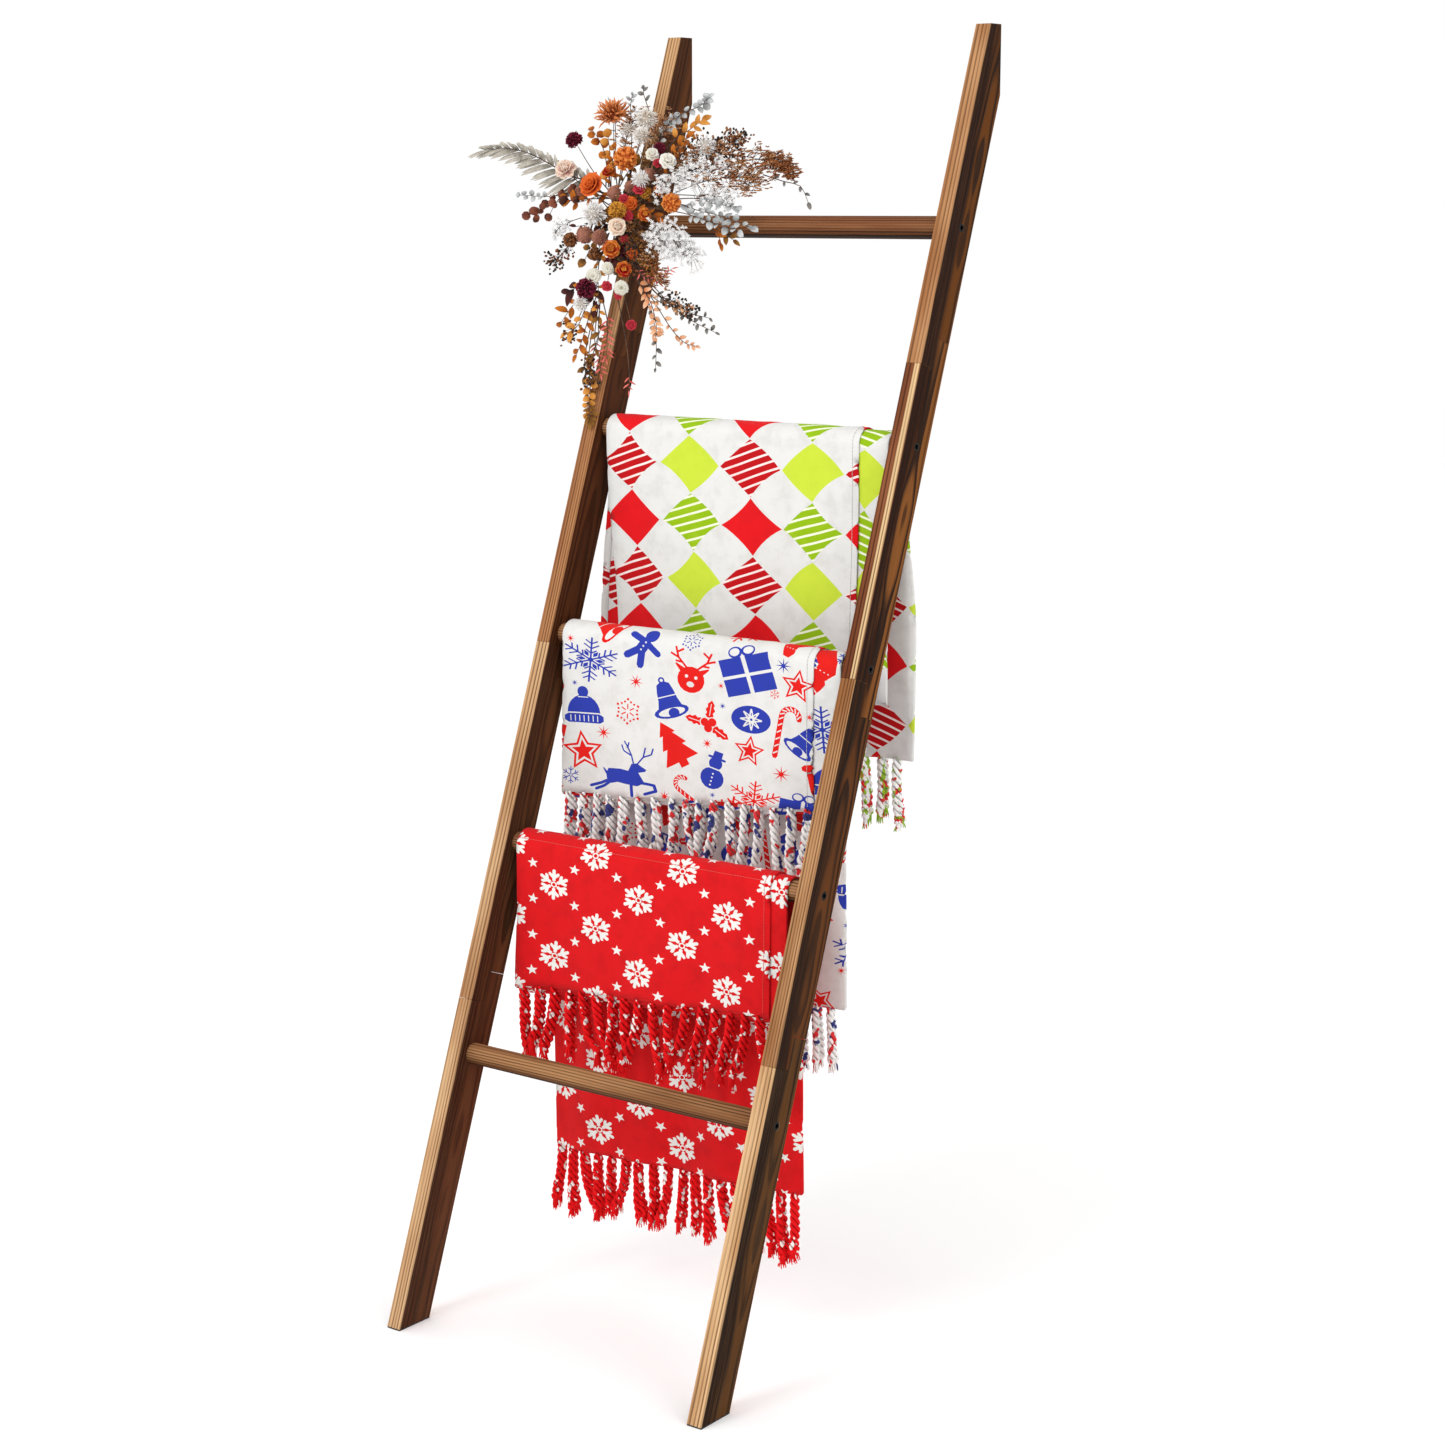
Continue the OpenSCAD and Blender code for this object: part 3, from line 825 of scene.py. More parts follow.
class Throw:
    """A fringed cloth folded in three along its length and hung over one rung.

    left and right are the folded stack's edges, free and inner_free the cloth's own two
    edges; front and back are the drops at the left and at the right.
    """

    def __init__(self, name, body, rung, seed, **sizes):
        self.name, self.body, self.rung, self.seed = name, body, rung, seed
        self.__dict__.update(sizes)
        self.runs = self.fold_path()
        lengths = [run[1] for run in self.runs]
        before = sum(lengths[:6])
        self.low, self.high = -before, sum(lengths) - before

    def fold_path(self):
        """Runs and half-turns across the folded stack: (kind, length, numbers, layer)."""
        inner, centre, outer = LAYERS

        def run(a, b, offset, layer):
            return ("run", abs(b - a), (a, b, offset), layer)

        def turn(x, start, end, side, layer):
            return ("turn", math.pi * abs(end - start) / 2, (x, start, end, side), layer)

        return [
            run(self.inner_free + HEM, self.inner_free, inner + HEM_GAP, 0),
            turn(self.inner_free, inner + HEM_GAP, inner, -1, 0),
            run(self.inner_free, self.right, inner, 0),
            turn(self.right, inner, centre, 1, 0.5),
            run(self.right, self.left, centre, 1),
            turn(self.left, centre, outer, -1, 1.5),
            run(self.left, self.free, outer, 2),
            turn(self.free, outer, outer - HEM_GAP, 1, 2),
            run(self.free, self.free - HEM, outer - HEM_GAP, 2),
        ]

    def across(self, c):
        """Place across the ladder, offset from the rung and layer of cloth coordinate c."""
        rest = min(max(c, self.low), self.high) - self.low
        for kind, length, numbers, layer in self.runs:
            if rest <= length or (kind, numbers) == (self.runs[-1][0], self.runs[-1][2]):
                break
            rest -= length
        t = min(1.0, rest / length)
        if kind == "run":
            a, b, offset = numbers
            return blend(a, b, t), offset, layer
        x, start, end, side = numbers
        half = (end - start) / 2
        turn = math.pi * t
        return (x + side * abs(half) * math.sin(turn), start + half * (1 - math.cos(turn)), layer)

    def share(self, x):
        return (x - self.left) / (self.right - self.left)

    def hem(self, c, side):
        """Length of the path from the middle of the wrap to the hem, in front or behind."""
        x, _, layer = self.across(c)
        drop = blend(*(self.front if side > 0 else self.back), self.share(x))
        turn = FRONT_TURN if side > 0 else BACK_TURN
        uneven = 2.5 * noise.noise(Vector((x / 70, layer * 3.1 + self.seed, side)))
        return RUNG_FLAT + (RUNG_HALF + LAYERS[2]) * turn + drop + uneven

    def wrap(self, p, offset):
        """Side-view point, outward direction and drop below the rung's round part."""
        radius = RUNG_HALF + offset
        side = 1 if p >= 0 else -1
        turn_end = FRONT_TURN if side > 0 else BACK_TURN
        q = abs(p)
        centre = (-side * RUNG_FLAT * math.cos(LEAN), side * RUNG_FLAT * math.sin(LEAN))
        turn, share = max(0.0, (q - RUNG_FLAT) / radius), min(1.0, q / RUNG_FLAT)
        if turn < turn_end:
            angle = LEAN - side * turn
            out = (math.sin(angle), math.cos(angle))
            return (centre[0] * share + out[0] * radius,
                    centre[1] * share + out[1] * radius), out, 0.0
        drop = q - RUNG_FLAT - radius * turn_end
        return (centre[0] - side * radius, centre[1] - drop), (-side, 0.0), drop

    def swing(self, x, drop, side, layer):
        """How far the hanging cloth stands out of its plane: shared folds and small creases."""
        hang = smooth(drop / 220)
        shared = 3.4 * hang * math.sin(x / 31 + self.seed) * smooth((drop - 20) / 160)
        shared += 2.2 * hang * math.sin(x / 17.3 + drop / 90 + 2.1 * self.seed + side)
        small = 0.55 * noise.noise(Vector((x / 24, drop / 46, self.seed + side)))
        flare = 1.0 * layer * hang
        ripple = 0.16 * noise.noise(Vector((x / 7, drop / 13, 9 + self.seed + layer)))
        return shared + small + flare + ripple + 0.2

    def drift(self, x, drop, side, layer):
        """Sideways change of a point as its flap hangs."""
        if side > 0:
            amount = self.front_shift[0 if layer >= 1 else 1]
            return amount * (self.right - x) / (self.right - self.left) * smooth(drop / 260)
        return (blend(*self.back_edges, self.share(x)) - x) * smooth((drop - 8) / 220)

    def place(self, c, p, lift=0.0):
        """Point in metres of the cloth's flat place (c across, p along), lifted off it."""
        x, offset, layer = self.across(c)
        side = 1 if p >= 0 else -1
        point, out, drop = self.wrap(p, offset)
        top_wave = 0.35 * noise.noise(Vector((x / 40, p / 30, self.seed * 2.0)))
        stand = self.swing(x, drop, side, layer) + top_wave + lift
        x += self.drift(x, drop, side, layer)
        y, z = point[0] + out[0] * stand, point[1] + out[1] * stand
        return self.rung + Vector((x, y, z)) * MM

    def columns(self):
        """Cloth coordinates of the mesh's columns: close together round each fold."""
        marks, at = [self.low], self.low
        for kind, length, _, _ in self.runs:
            count = 6 if kind == "turn" else max(1, round(length / PRINT_SPACING))
            marks += [at + length * (i + 1) / count for i in range(count)]
            at += length
        return marks

    def rows(self):
        """Shares of the nominal length: close together over the rung."""
        front, back = self.hem(SIZE_COLUMN, 1), self.hem(SIZE_COLUMN, -1)
        wrap = RUNG_FLAT + 20 * FRONT_TURN
        marks = [0.0]
        for end, side in ((front, 1), (back, -1)):
            near = int(wrap / WRAP_SPACING)
            marks += [side * wrap * (i + 1) / near for i in range(near)]
            far = round((end - wrap) / PRINT_SPACING)
            marks += [side * (wrap + (end - wrap) * (i + 1) / far) for i in range(far)]
        return sorted(marks), front, back

    def tassel_places(self):
        """Cloth coordinate and column of each tassel; columns line up in all three layers."""
        made, at = [], self.low
        for kind, length, numbers, _ in self.runs:
            if kind == "run" and length > 3 * HEM:
                a, b = numbers[:2]
                for column in range(40):
                    x = self.left + TASSEL_PITCH * (column + 0.5)
                    if min(a, b) + 3 < x < max(a, b) - 3:
                        made.append((at + abs(x - a), column))
            at += length
        return made

    def flat_size(self):
        return ((self.high - self.low) * MM,
                (self.hem(SIZE_COLUMN, 1) + self.hem(SIZE_COLUMN, -1)) * MM)


def clip(shape, low_x, high_x, low_y, high_y):
    """The part of an outline inside a rectangle."""
    for axis, limit, way in ((0, low_x, 1), (0, high_x, -1), (1, low_y, 1), (1, high_y, -1)):
        kept = []
        for i, point in enumerate(shape):
            last = shape[i - 1]
            is_inside, was_inside = [(p[axis] - limit) * way >= 0 for p in (point, last)]
            if is_inside != was_inside:
                t = (limit - last[axis]) / (point[axis] - last[axis])
                kept.append((blend(last[0], point[0], t), blend(last[1], point[1], t)))
            if is_inside:
                kept.append(point)
        shape = kept
    return shape


def divided(shape):
    """The outline with its long sides divided, so that it can bend with the cloth."""
    points = []
    for i, (x, y) in enumerate(shape):
        nx, ny = shape[(i + 1) % len(shape)]
        steps = max(1, math.ceil(math.hypot(nx - x, ny - y) / OUTLINE_STEP))
        points += [(blend(x, nx, k / steps), blend(y, ny, k / steps)) for k in range(steps)]
    return points


def turned_left(shape):
    area = sum(a[0] * b[1] - b[0] * a[1] for a, b in zip(shape, shape[1:] + shape[:1]))
    return shape if area > 0 else shape[::-1]


def print_onto(throw, shapes):
    """Flat triangles of the whole cloth with every printed outline cut into them."""
    rows, front, back = throw.rows()
    columns = throw.columns()

    def level(c, y):
        p = y + PRINT_START
        return p / throw.hem(c, 1) * front if p >= 0 else p / throw.hem(c, -1) * back

    outlines = []
    for ink, shape in shapes:
        shape = clip([(x, level(x, y)) for x, y in shape], throw.low, throw.high, -back, front)
        if len(shape) > 2:
            outlines.append((ink, turned_left(divided(shape))))
    points = [point for _, shape in outlines for point in shape]
    near = kdtree.KDTree(len(points))
    for i, (x, y) in enumerate(points):
        near.insert((x, y, 0), i)
    near.balance()
    for x in columns:
        for y in rows:
            rim = x in (columns[0], columns[-1]) or y in (rows[0], rows[-1])
            if rim or near.find((x, y, 0))[2] > OUTLINE_CLEAR:
                points.append((x, y))
    sides, start = [], 0
    for _, shape in outlines:
        count = len(shape)
        sides += [(start + i, start + (i + 1) % count) for i in range(count)]
        start += count
    made = delaunay_2d_cdt([Vector(p) for p in points], sides, [], 0, 1e-4, False)
    flat, triangles = made[0], made[2]
    return flat, triangles, inks_of(flat, triangles, outlines), front, back


def inside(x, y, shape):
    """Whether a point is inside an outline, by counting the sides it crosses."""
    odd = False
    ax, ay = shape[-1]
    for bx, by in shape:
        if (ay > y) != (by > y) and x < (bx - ax) * (y - ay) / (by - ay) + ax:
            odd = not odd
        ax, ay = bx, by
    return odd


def inks_of(flat, triangles, outlines):
    """The ink of each triangle: that of the last outline that holds its middle."""
    cells = {}
    for order, (_, shape) in enumerate(outlines):
        reach = [[math.floor(end(p[axis] for p in shape) / INK_CELL) for end in (min, max)]
                 for axis in (0, 1)]
        for i in range(reach[0][0], reach[0][1] + 1):
            for j in range(reach[1][0], reach[1][1] + 1):
                cells.setdefault((i, j), []).append(order)
    inks = []
    for a, b, c in triangles:
        x, y = (flat[a] + flat[b] + flat[c]) / 3
        near = cells.get((math.floor(x / INK_CELL), math.floor(y / INK_CELL)), [])
        inks.append(next((outlines[o][0] for o in reversed(near)
                          if inside(x, y, outlines[o][1])), 0))
    return inks


def make_throw(throw, shapes, materials, slot):
    """The printed, folded and hung cloth as one piece."""
    build = Build()
    flat, build.faces, build.inks, front, back = print_onto(throw, shapes)
    for c, level in flat:
        p = level / front * throw.hem(c, 1) if level >= 0 else level / back * throw.hem(c, -1)
        build.points.append(throw.place(c, p))
        build.flat.append((c * MM, p * MM))
    cloth = build.piece(throw.name + "_cloth", materials, CLOTH)
    belongs(cloth, throw.body, slot, throw.name)
    return cloth


def make_stitching(throw, material, slot):
    """The line of stitches along the turned hem, a thread lying on the outer layer.

    The snowflake throw has a second line, across its front just under the rung.
    """
    build = Build()
    hem_line = throw.high - HEM - math.pi * HEM_GAP / 2 - HEM + STITCH_INSIDE
    stitches = [(hem_line, side * (i + 0.5) * STITCH_PITCH, False) for side in (1, -1)
                for i in range(int(throw.hem(hem_line, side) / STITCH_PITCH))]
    if throw.name == "snowflake_throw":
        stitches += [((i + 0.5) * STITCH_PITCH, CROSS_STITCHES_AT, True)
                     for i in range(int(hem_line / STITCH_PITCH))]
    for c, p, crosswise in stitches:
        line = []
        for share, lift in STITCH_PROFILE:
            step = share * STITCH_LENGTH
            line.append(throw.place(c + step, p, lift) if crosswise
                        else throw.place(c, p + step, lift))
        build.add(*tube(line, THREAD_RADIUS * MM, 5))
    thread = build.piece(throw.name + "_stitching", [material])
    belongs(thread, throw.body, slot)
    return thread


# ---- fringes ----

def tassel(build, top, length, sway, dice, outward):
    """A two-ply twisted tassel that ends in a knot and a short frayed tip.

    The flat place's first value says how far a point is from the groove between the plies; the
    yarn's material paints shade near the groove, and the knot and frayed tip get none.
    """
    def add_without_groove_shade(part):
        build.add(*part, 0, [(1.0, 0.0)] * len(part[0]))

    body = length * dice.uniform(0.80, 0.87)
    swirl = dice.uniform(0, 2 * math.pi)
    kink, kink_at = dice.gauss(0, 0.55) * math.hypot(*sway), dice.uniform(0.5, 0.8)
    centre = []
    for i in range(PLY_POINTS):
        t = i / (PLY_POINTS - 1)
        side = sway[0] * t * t + kink * smooth((t - kink_at) / (1 - kink_at))
        side += 2.2 * math.sin(3.2 * t + swirl) * t
        centre.append(top + Vector((side, outward * 1.5 * t + sway[1] * t * t, -body * t)) * MM)
    twist = length / PLY_TURN * 2 * math.pi
    for half in (0, math.pi):
        line, radii, out = [], [], []
        for i, place in enumerate(centre):
            t = i / (PLY_POINTS - 1)
            turn = swirl + half + twist * t
            out.append(Vector((math.cos(turn), math.sin(turn), 0)))
            line.append(place + out[i] * (PLY_RADIUS * 0.98 * MM))
            radii.append(PLY_RADIUS * MM * (0.7 + 0.3 * smooth(t * 6)))
        points, faces = tube(line, radii, PLY_SIDES)
        groove = [(0.5 + 0.5 * (point - line[n // PLY_SIDES]).normalized().dot(
            out[n // PLY_SIDES]), 0.0) for n, point in enumerate(points)]
        build.add(points, faces, 0, groove)
    end = centre[-1]
    loop = [end + Vector((2.9 * math.cos(turn), 2.6 * math.sin(turn),
                          1.9 * math.sin(2 * turn + swirl))) * MM
            for turn in [2 * math.pi * i / KNOT_POINTS for i in range(KNOT_POINTS + 1)]]
    add_without_groove_shade(tube(loop, KNOT_RADIUS * MM, 6))
    tail = length - body
    for strand in range(STRANDS):
        turn = 2 * math.pi * strand / STRANDS + swirl
        spread = dice.uniform(1.0, 4.5)
        line = [end + Vector((math.cos(turn) * (1.2 + spread * t) + math.sin(4 * t + strand) * t,
                              math.sin(turn) * (1.2 + 0.6 * spread * t),
                              -1.5 - tail * t * dice.uniform(0.9, 1.0))) * MM
                for t in (0, 0.25, 0.5, 0.75, 1.0)]
        add_without_groove_shade(tube(line, [STRAND_RADIUS * MM * f for f in (1, 0.95, 0.85, 0.7, 0.45)], 5))


def make_fringe(throw, side, material, slot, tangle):
    """All the tassels along one cut end of the cloth, through its three layers."""
    build = Build()
    for c, column in throw.tassel_places():
        dice = random.Random(throw.seed * 1000 + side * 500 + column)
        c += dice.uniform(-2, 2)
        layer = throw.across(c)[2]
        sway = (dice.gauss(0, tangle) + 1.5 * (layer - 1), dice.gauss(0, 2.5) - side * layer)
        length = TASSEL_LENGTH * dice.uniform(0.86, 1.02)
        top = throw.place(c, side * (throw.hem(c, side) - 1.0))
        tassel(build, top, length, sway, dice, -side * 0.5)
    end = throw.name + ("_front_" if side > 0 else "_back_")
    fringe = build.piece(end + "tassels", [material])
    belongs(fringe, throw.body, slot, end + "fringe")
    return fringe


def cotton(name, code, mottle, amount=0.12, stripes=None):
    """Plain-weave printed cotton, seen as threads close up and as a soft mottle from afar."""
    shader = Shader(name)
    flat, colour = shader.flat_place(), rgb(code)
    u, v, _ = shader.parts(flat)
    soft = shader.noise(flat, 42, 4, 0.6)
    slub = shader.streaks((u, v, v), (60, 900, 0), 2)
    base = colour
    if stripes:
        tone, pitch, slope, wave = stripes
        bend = shader.times(shader.noise(flat, 14, 1), wave * MM)
        run = shader.plus(shader.plus(shader.times(u, slope), v), bend)
        band = shader.math("PINGPONG", shader.math("DIVIDE", run, pitch * MM), 0.5)
        base = shader.mix(shader.between(band, 0.355, 0.385), colour, rgb(tone))
    tinted = shader.tint(shader.between(soft, 0.42, 0.72), amount, base, rgb(mottle))
    tinted = shader.tint(slub, 0.10, tinted, shade(colour, 0.6))
    warp, weft = [shader.math("SINE", shader.times(way, 2 * math.pi / THREAD_PITCH))
                  for way in (u, v)]
    height = shader.plus(shader.times(shader.times(warp, weft), 0.35), shader.times(soft, 1.2))
    return shader.finish(tinted, 0.9, height, 0.22, 0.7, Specular_IOR_Level=0.15,
                         Sheen_Weight=0.04)


def yarn(name, code, spots, scale=92):
    """Twisted cotton yarn cut from the printed cloth, so its colours come in patches; shade is
    painted into the groove between its plies.
    """
    shader = Shader(name)
    place, base = shader.object_place(), rgb(code)
    colour = base
    for number, (spot, share) in enumerate(spots):
        moved = shader.add("VectorMath", {0: place, 1: (7.3 * number, 3.1, 1.7 * number)},
                           operation="ADD")
        patch = shader.noise(shader.scale(moved, (1, 1, 0.7)), scale, 1, 0.4)
        edge = 0.72 - share
        colour = shader.mix(shader.between(patch, edge, edge + 0.02), colour, rgb(spot))
    hair = shader.noise(place, 1500, 3, 0.7)
    colour = shader.tint(hair, 0.12, colour, shade(base, 0.5))
    # Painted shade: the colour darkens towards the groove between the two plies.
    away_from_groove = shader.between(shader.parts(shader.flat_place())[0], 0.2, 0.75)
    groove_shade_colour = shader.mix(0.5, colour, shade(base, 0.14))
    return shader.finish(shader.mix(away_from_groove, groove_shade_colour, colour), 0.92, hair, 0.3,
                         Specular_IOR_Level=0.15)


def sewing_thread(name, code):
    shader = Shader(name)
    fine = shader.noise(shader.object_place(), 2600, 2, 0.6)
    return shader.finish(shader.mix(fine, rgb(code), shade(rgb(code), 0.7)), 0.75, fine, 0.05,
                         0.6)


THREAD_PITCH = 0.75 * MM   # of the weave
WHITE_CLOTH, GREY_MARK, NATURAL_YARN = "dfdedb", "bdb9b2", "f6f5f2"
BRIGHT_RED, DEEP_RED = "dc1018", "b80a12"
LIME_GREEN, LEAF_GREEN = "c6da3c", "8fb60c"


def make_soft_goods():
    """Each throw's folded cloth, its fringe at both ends and its stitching."""
    kinds = [
        (Throw("diamond_throw", "upper_throw", RUNGS[1], 3, left=-207, right=211, free=172,
               inner_free=-203, front=(300, 298), back=(385, 370), front_shift=(19, -19),
               back_edges=(-200, 229)), "rung_2", diamond_print, [
            cotton("diamond_ground", WHITE_CLOTH, GREY_MARK, 0.35),
            cotton("diamond_red", BRIGHT_RED, DEEP_RED, 0.3),
            cotton("diamond_red_stripe", DEEP_RED, BRIGHT_RED, 0.2, ("f4e6e2", 10.4, 0.33, 5.0)),
            cotton("diamond_lime", LIME_GREEN, LEAF_GREEN, 0.12),
            cotton("diamond_green_stripe", LEAF_GREEN, LIME_GREEN, 0.15,
                   ("f2f4dc", 10.4, 0.27, 4.0))],
            yarn("diamond_yarn", NATURAL_YARN, [(BRIGHT_RED, 0.14), (LEAF_GREEN, 0.14)], 120),
            9, "cfccc6"),
        (Throw("motif_throw", "middle_throw", RUNGS[2], 5, left=-205, right=209, free=173,
               inner_free=-200, front=(197, 168), back=(425, 412), front_shift=(-5, 0),
               back_edges=(-196, 197)), "rung_3", holiday_print, [
            cotton("motif_ground", WHITE_CLOTH, GREY_MARK, 0.3),
            cotton("motif_red", "dc1a14", DEEP_RED, 0.2),
            cotton("motif_blue", "2a3aa4", "2a3688", 0.3)],
            yarn("motif_yarn", NATURAL_YARN, [(BRIGHT_RED, 0.13), ("1c2878", 0.12)]),
            8, "cfccc6"),
        (Throw("snowflake_throw", "lower_throw", RUNGS[3], 8, left=-206, right=199, free=178,
               inner_free=-202, front=(176, 150), back=(384, 368), front_shift=(-1, 2),
               back_edges=(-186, 197)), "rung_4", snowflake_print, [
            cotton("snowflake_ground", "d40f15", "a8090f", 0.35),
            cotton("snowflake_white", "e8e6e1", GREY_MARK, 0.2)],
            yarn("snowflake_yarn", "e31117", [("f4f1ec", 0.09)], 130), 12, "e2564c"),
    ]
    for throw, rung, pattern, materials, yarn_material, tangle, thread in kinds:
        kind = throw.name.removesuffix("_throw")
        reach = (throw.low, throw.high, -throw.hem(0, -1), throw.hem(0, 1))
        cloth = make_throw(throw, pattern(*reach), materials, kind + "_cloth")
        fringes = [make_fringe(throw, side, yarn_material, kind + "_fringe", tangle)
                   for side in (1, -1)]
        fringes.append(make_stitching(throw, sewing_thread(kind + "_thread", thread),
                                      kind + "_cloth"))
        throw.flat_size()


# ---- the dried-flower spray ----
# Petals and leaves are made in millimetres about their own axes, where z points out of the
# bloom or the leaf's face, then set on the ladder. A part is (points, faces, flat places).

OUTWARD = (-BEHIND + Vector((0.5, 0, 0))).normalized()
HEART = (-236.0, 1405.0)   # middle of the spray: across, and along the rail
GOLDEN_TURN = 2.399963
SEEN_PLANE = -30           # k of the plane on which the spray's places are given
SIGHT_X, SIGHT_S = 0.857, -0.364   # shift of a place for each millimetre off that plane


def strip(length, rows, columns, bend, shaped):
    """A strip of faces along a bending line, each of its points placed by shaped.

    bend gives the angle at a share of the length; shaped gives a point from the line's two
    coordinates, its angle and share, and the place across the strip from -1 to 1.
    """
    points, flat = [], []
    up = out = 0.0
    step = length / (rows - 1)
    for i in range(rows):
        t = i / (rows - 1)
        angle = math.radians(bend(t))
        if i:
            up += step * math.cos(angle)
            out += step * math.sin(angle)
        for j in range(columns):
            across = 2 * j / (columns - 1) - 1
            points.append(shaped(up, out, angle, t, across))
            flat.append(((across + 1) / 2, t))
    faces = [(r * columns + c, r * columns + c + 1, (r + 1) * columns + c + 1,
              (r + 1) * columns + c) for r in range(rows - 1) for c in range(columns - 1)]
    return points, faces, flat


def petal(length, width, start, finish, cup=0.3, frill=0.0, tip=0.25, rows=5, columns=5):
    """A petal that leaves the axis at start degrees from straight out and ends at finish."""
    def shaped(z, r, angle, t, across):
        half = width / 2 * (tip + (1 - tip) * math.sin(math.pi * t ** 1.5))
        lift = cup * half * across ** 2 + frill * t * math.sin(3 * math.pi * across)
        return r - lift * math.cos(angle), half * across, z + lift * math.sin(angle)
    return strip(length, rows, columns, lambda t: blend(start, finish, t), shaped)


def leaf(length, width, droop=30.0, fold=0.35, rows=7, columns=5, blunt=0.8):
    """A leaf that grows along y, folded on its midrib, its far end bent away from z."""
    def shaped(y, z, _angle, t, across):
        half = width / 2 * (0.06 + math.sin(math.pi * t ** 0.85) ** blunt)
        return half * across, y, z + fold * half * abs(across)
    return strip(length, rows, columns, lambda t: -droop * t, shaped)


def ball(radius, tall=1.0, rings_up=6, sides=8):
    points, flat = [], []
    for i in range(1, rings_up):
        up = math.pi * i / rings_up
        for j in range(sides):
            turn = 2 * math.pi * j / sides
            points.append((radius * math.sin(up) * math.cos(turn),
                           radius * math.sin(up) * math.sin(turn),
                           radius * tall * math.cos(up)))
            flat.append((j / sides, 0.5 - 0.4 * math.cos(up)))
    faces = [(i * sides + j, (i + 1) * sides + j, (i + 1) * sides + (j + 1) % sides,
              i * sides + (j + 1) % sides) for i in range(rings_up - 2) for j in range(sides)]
    top, bottom = len(points), len(points) + 1
    points += [(0, 0, radius * tall), (0, 0, -radius * tall)]
    flat += [(0.5, 0.1), (0.5, 0.9)]
    last = (rings_up - 2) * sides
    faces += [(top, j, (j + 1) % sides) for j in range(sides)]
    faces += [(bottom, last + (j + 1) % sides, last + j) for j in range(sides)]
    return points, faces, flat


def set_at(part, place, out, along=None, turn=0.0, scale=1.0):
    """Turns a part so that z looks out and y runs along, and moves it to place."""
    points, faces, flat = part
    out = out.normalized()
    along = along or (out.orthogonal() if abs(out.z) > 0.9 else Vector((0, 0, 1)))
    along = (along - out * along.dot(out)).normalized()
    right = along.cross(out)
    c, s = math.cos(turn), math.sin(turn)
    a, b = right * c + along * s, along * c - right * s
    return [place + (a * x + b * y + out * z) * scale for x, y, z in points], faces, flat


def whorl(parts, twist=0.0):
    centre, out = Vector((0, 0, 0)), Vector((0, 0, 1))
    return [set_at(part, centre, out, Vector((0, 1, 0)), twist + 2 * math.pi * i / len(parts))
            for i, part in enumerate(parts)]


def head(radius, count, floret, dice, cover=0.72, inner=0.5, tall=1.0):
    """Florets set evenly over a ball, of which cover is the share that has them."""
    made = [ball(radius * (inner + 0.12), tall)]
    for i in range(count):
        z = 1 - 2 * cover * (i + 0.5) / count
        ring = math.sqrt(1 - z * z)
        turn = GOLDEN_TURN * i + dice.uniform(-0.1, 0.1)
        axis = Vector((ring * math.cos(turn), ring * math.sin(turn), z * tall))
        made.append(set_at(floret(), axis * radius * inner, axis, turn=dice.uniform(0, 6.28)))
    return made


def headed(count, length, spread, width, bend, cup, tip, rows, *stack):
    """A kind of bloom that is one head of small petals, sized in shares of its radius."""
    def bloom(radius, dice):
        return head(radius, count,
                    lambda: petal(radius * length * dice.uniform(*spread), radius * width,
                                  *bend, cup, tip=tip, rows=rows, columns=3), dice, *stack)
    return bloom


pompom = headed(110, 0.52, (0.85, 1.1), 0.26, (0, 48), 0.5, 0.4, 4, 0.8)
dahlia = headed(72, 0.56, (0.9, 1.1), 0.36, (0, 30), 0.8, 0.3, 4, 0.8)
fluffy = headed(150, 1, (0.45, 0.85), 0.09, (-6, 26), 0.3, 0.5, 4, 0.75, 0.3)
spikes = headed(74, 1, (0.62, 1.05), 0.15, (-4, 22), 0.9, 0.25, 5, 0.5, 0.25)
dusty = headed(170, 0.22, (0.8, 1.2), 0.2, (0, 20), 0.6, 0.5, 3, 0.9, 0.82)
cone = headed(62, 0.42, (0.9, 1.1), 0.44, (20, 78), 0.3, 0.45, 4, 0.9, 0.66, 1.15)


def rose(radius, dice):
    """Petals in rings, from a closed heart to a curled-back outer ring."""
    made = []
    for ring, (count, length, width, start, finish) in enumerate((
            (3, 0.70, 0.70, 3, -30), (4, 0.82, 0.85, 12, -14), (5, 0.92, 1.0, 28, 8),
            (6, 1.0, 1.05, 46, 50), (7, 1.02, 1.05, 64, 98))):
        parts = [petal(radius * length * dice.uniform(0.92, 1.06), radius * width, start,
                       finish + dice.uniform(-7, 7), 0.35, radius * 0.04 * dice.uniform(0, 2))
                 for _ in range(count)]
        made += whorl(parts, ring * 0.7 + dice.uniform(-0.1, 0.1))
    return made


def spiky(radius, dice):
    return spikes(radius, dice) + whorl([petal(radius * 0.8, radius * 0.3, 70, 100, 0.4)
                                         for _ in range(11)])


def carnation(radius, dice):
    made = []
    for count, length, start, finish in ((6, 0.7, 6, 12), (8, 0.85, 20, 30), (9, 0.95, 36, 52),
                                         (10, 1.0, 54, 82)):
        parts = [petal(radius * length * dice.uniform(0.9, 1.08), radius * 0.8, start,
                       finish + dice.uniform(-9, 9), 0.2, radius * 0.16, tip=0.75, rows=6,
                       columns=7) for _ in range(count)]
        made += whorl(parts, dice.uniform(0, 6))
    return made


def disc_bloom(radius, dice):
    made = []
    for ring, (count, length, start, finish) in enumerate(((17, 0.95, 84, 88), (15, 0.8, 74, 80),
                                                           (12, 0.55, 58, 66))):
        parts = [petal(radius * length * dice.uniform(0.95, 1.04), radius * 0.42, start, finish,
                       0.2, radius * 0.03, tip=0.6) for _ in range(count)]
        made += whorl(parts, ring * 0.4)
    return made + head(radius * 0.26, 26, lambda: petal(radius * 0.12, radius * 0.08, 0, 12,
                                                        tip=0.6, rows=3, columns=3), dice)


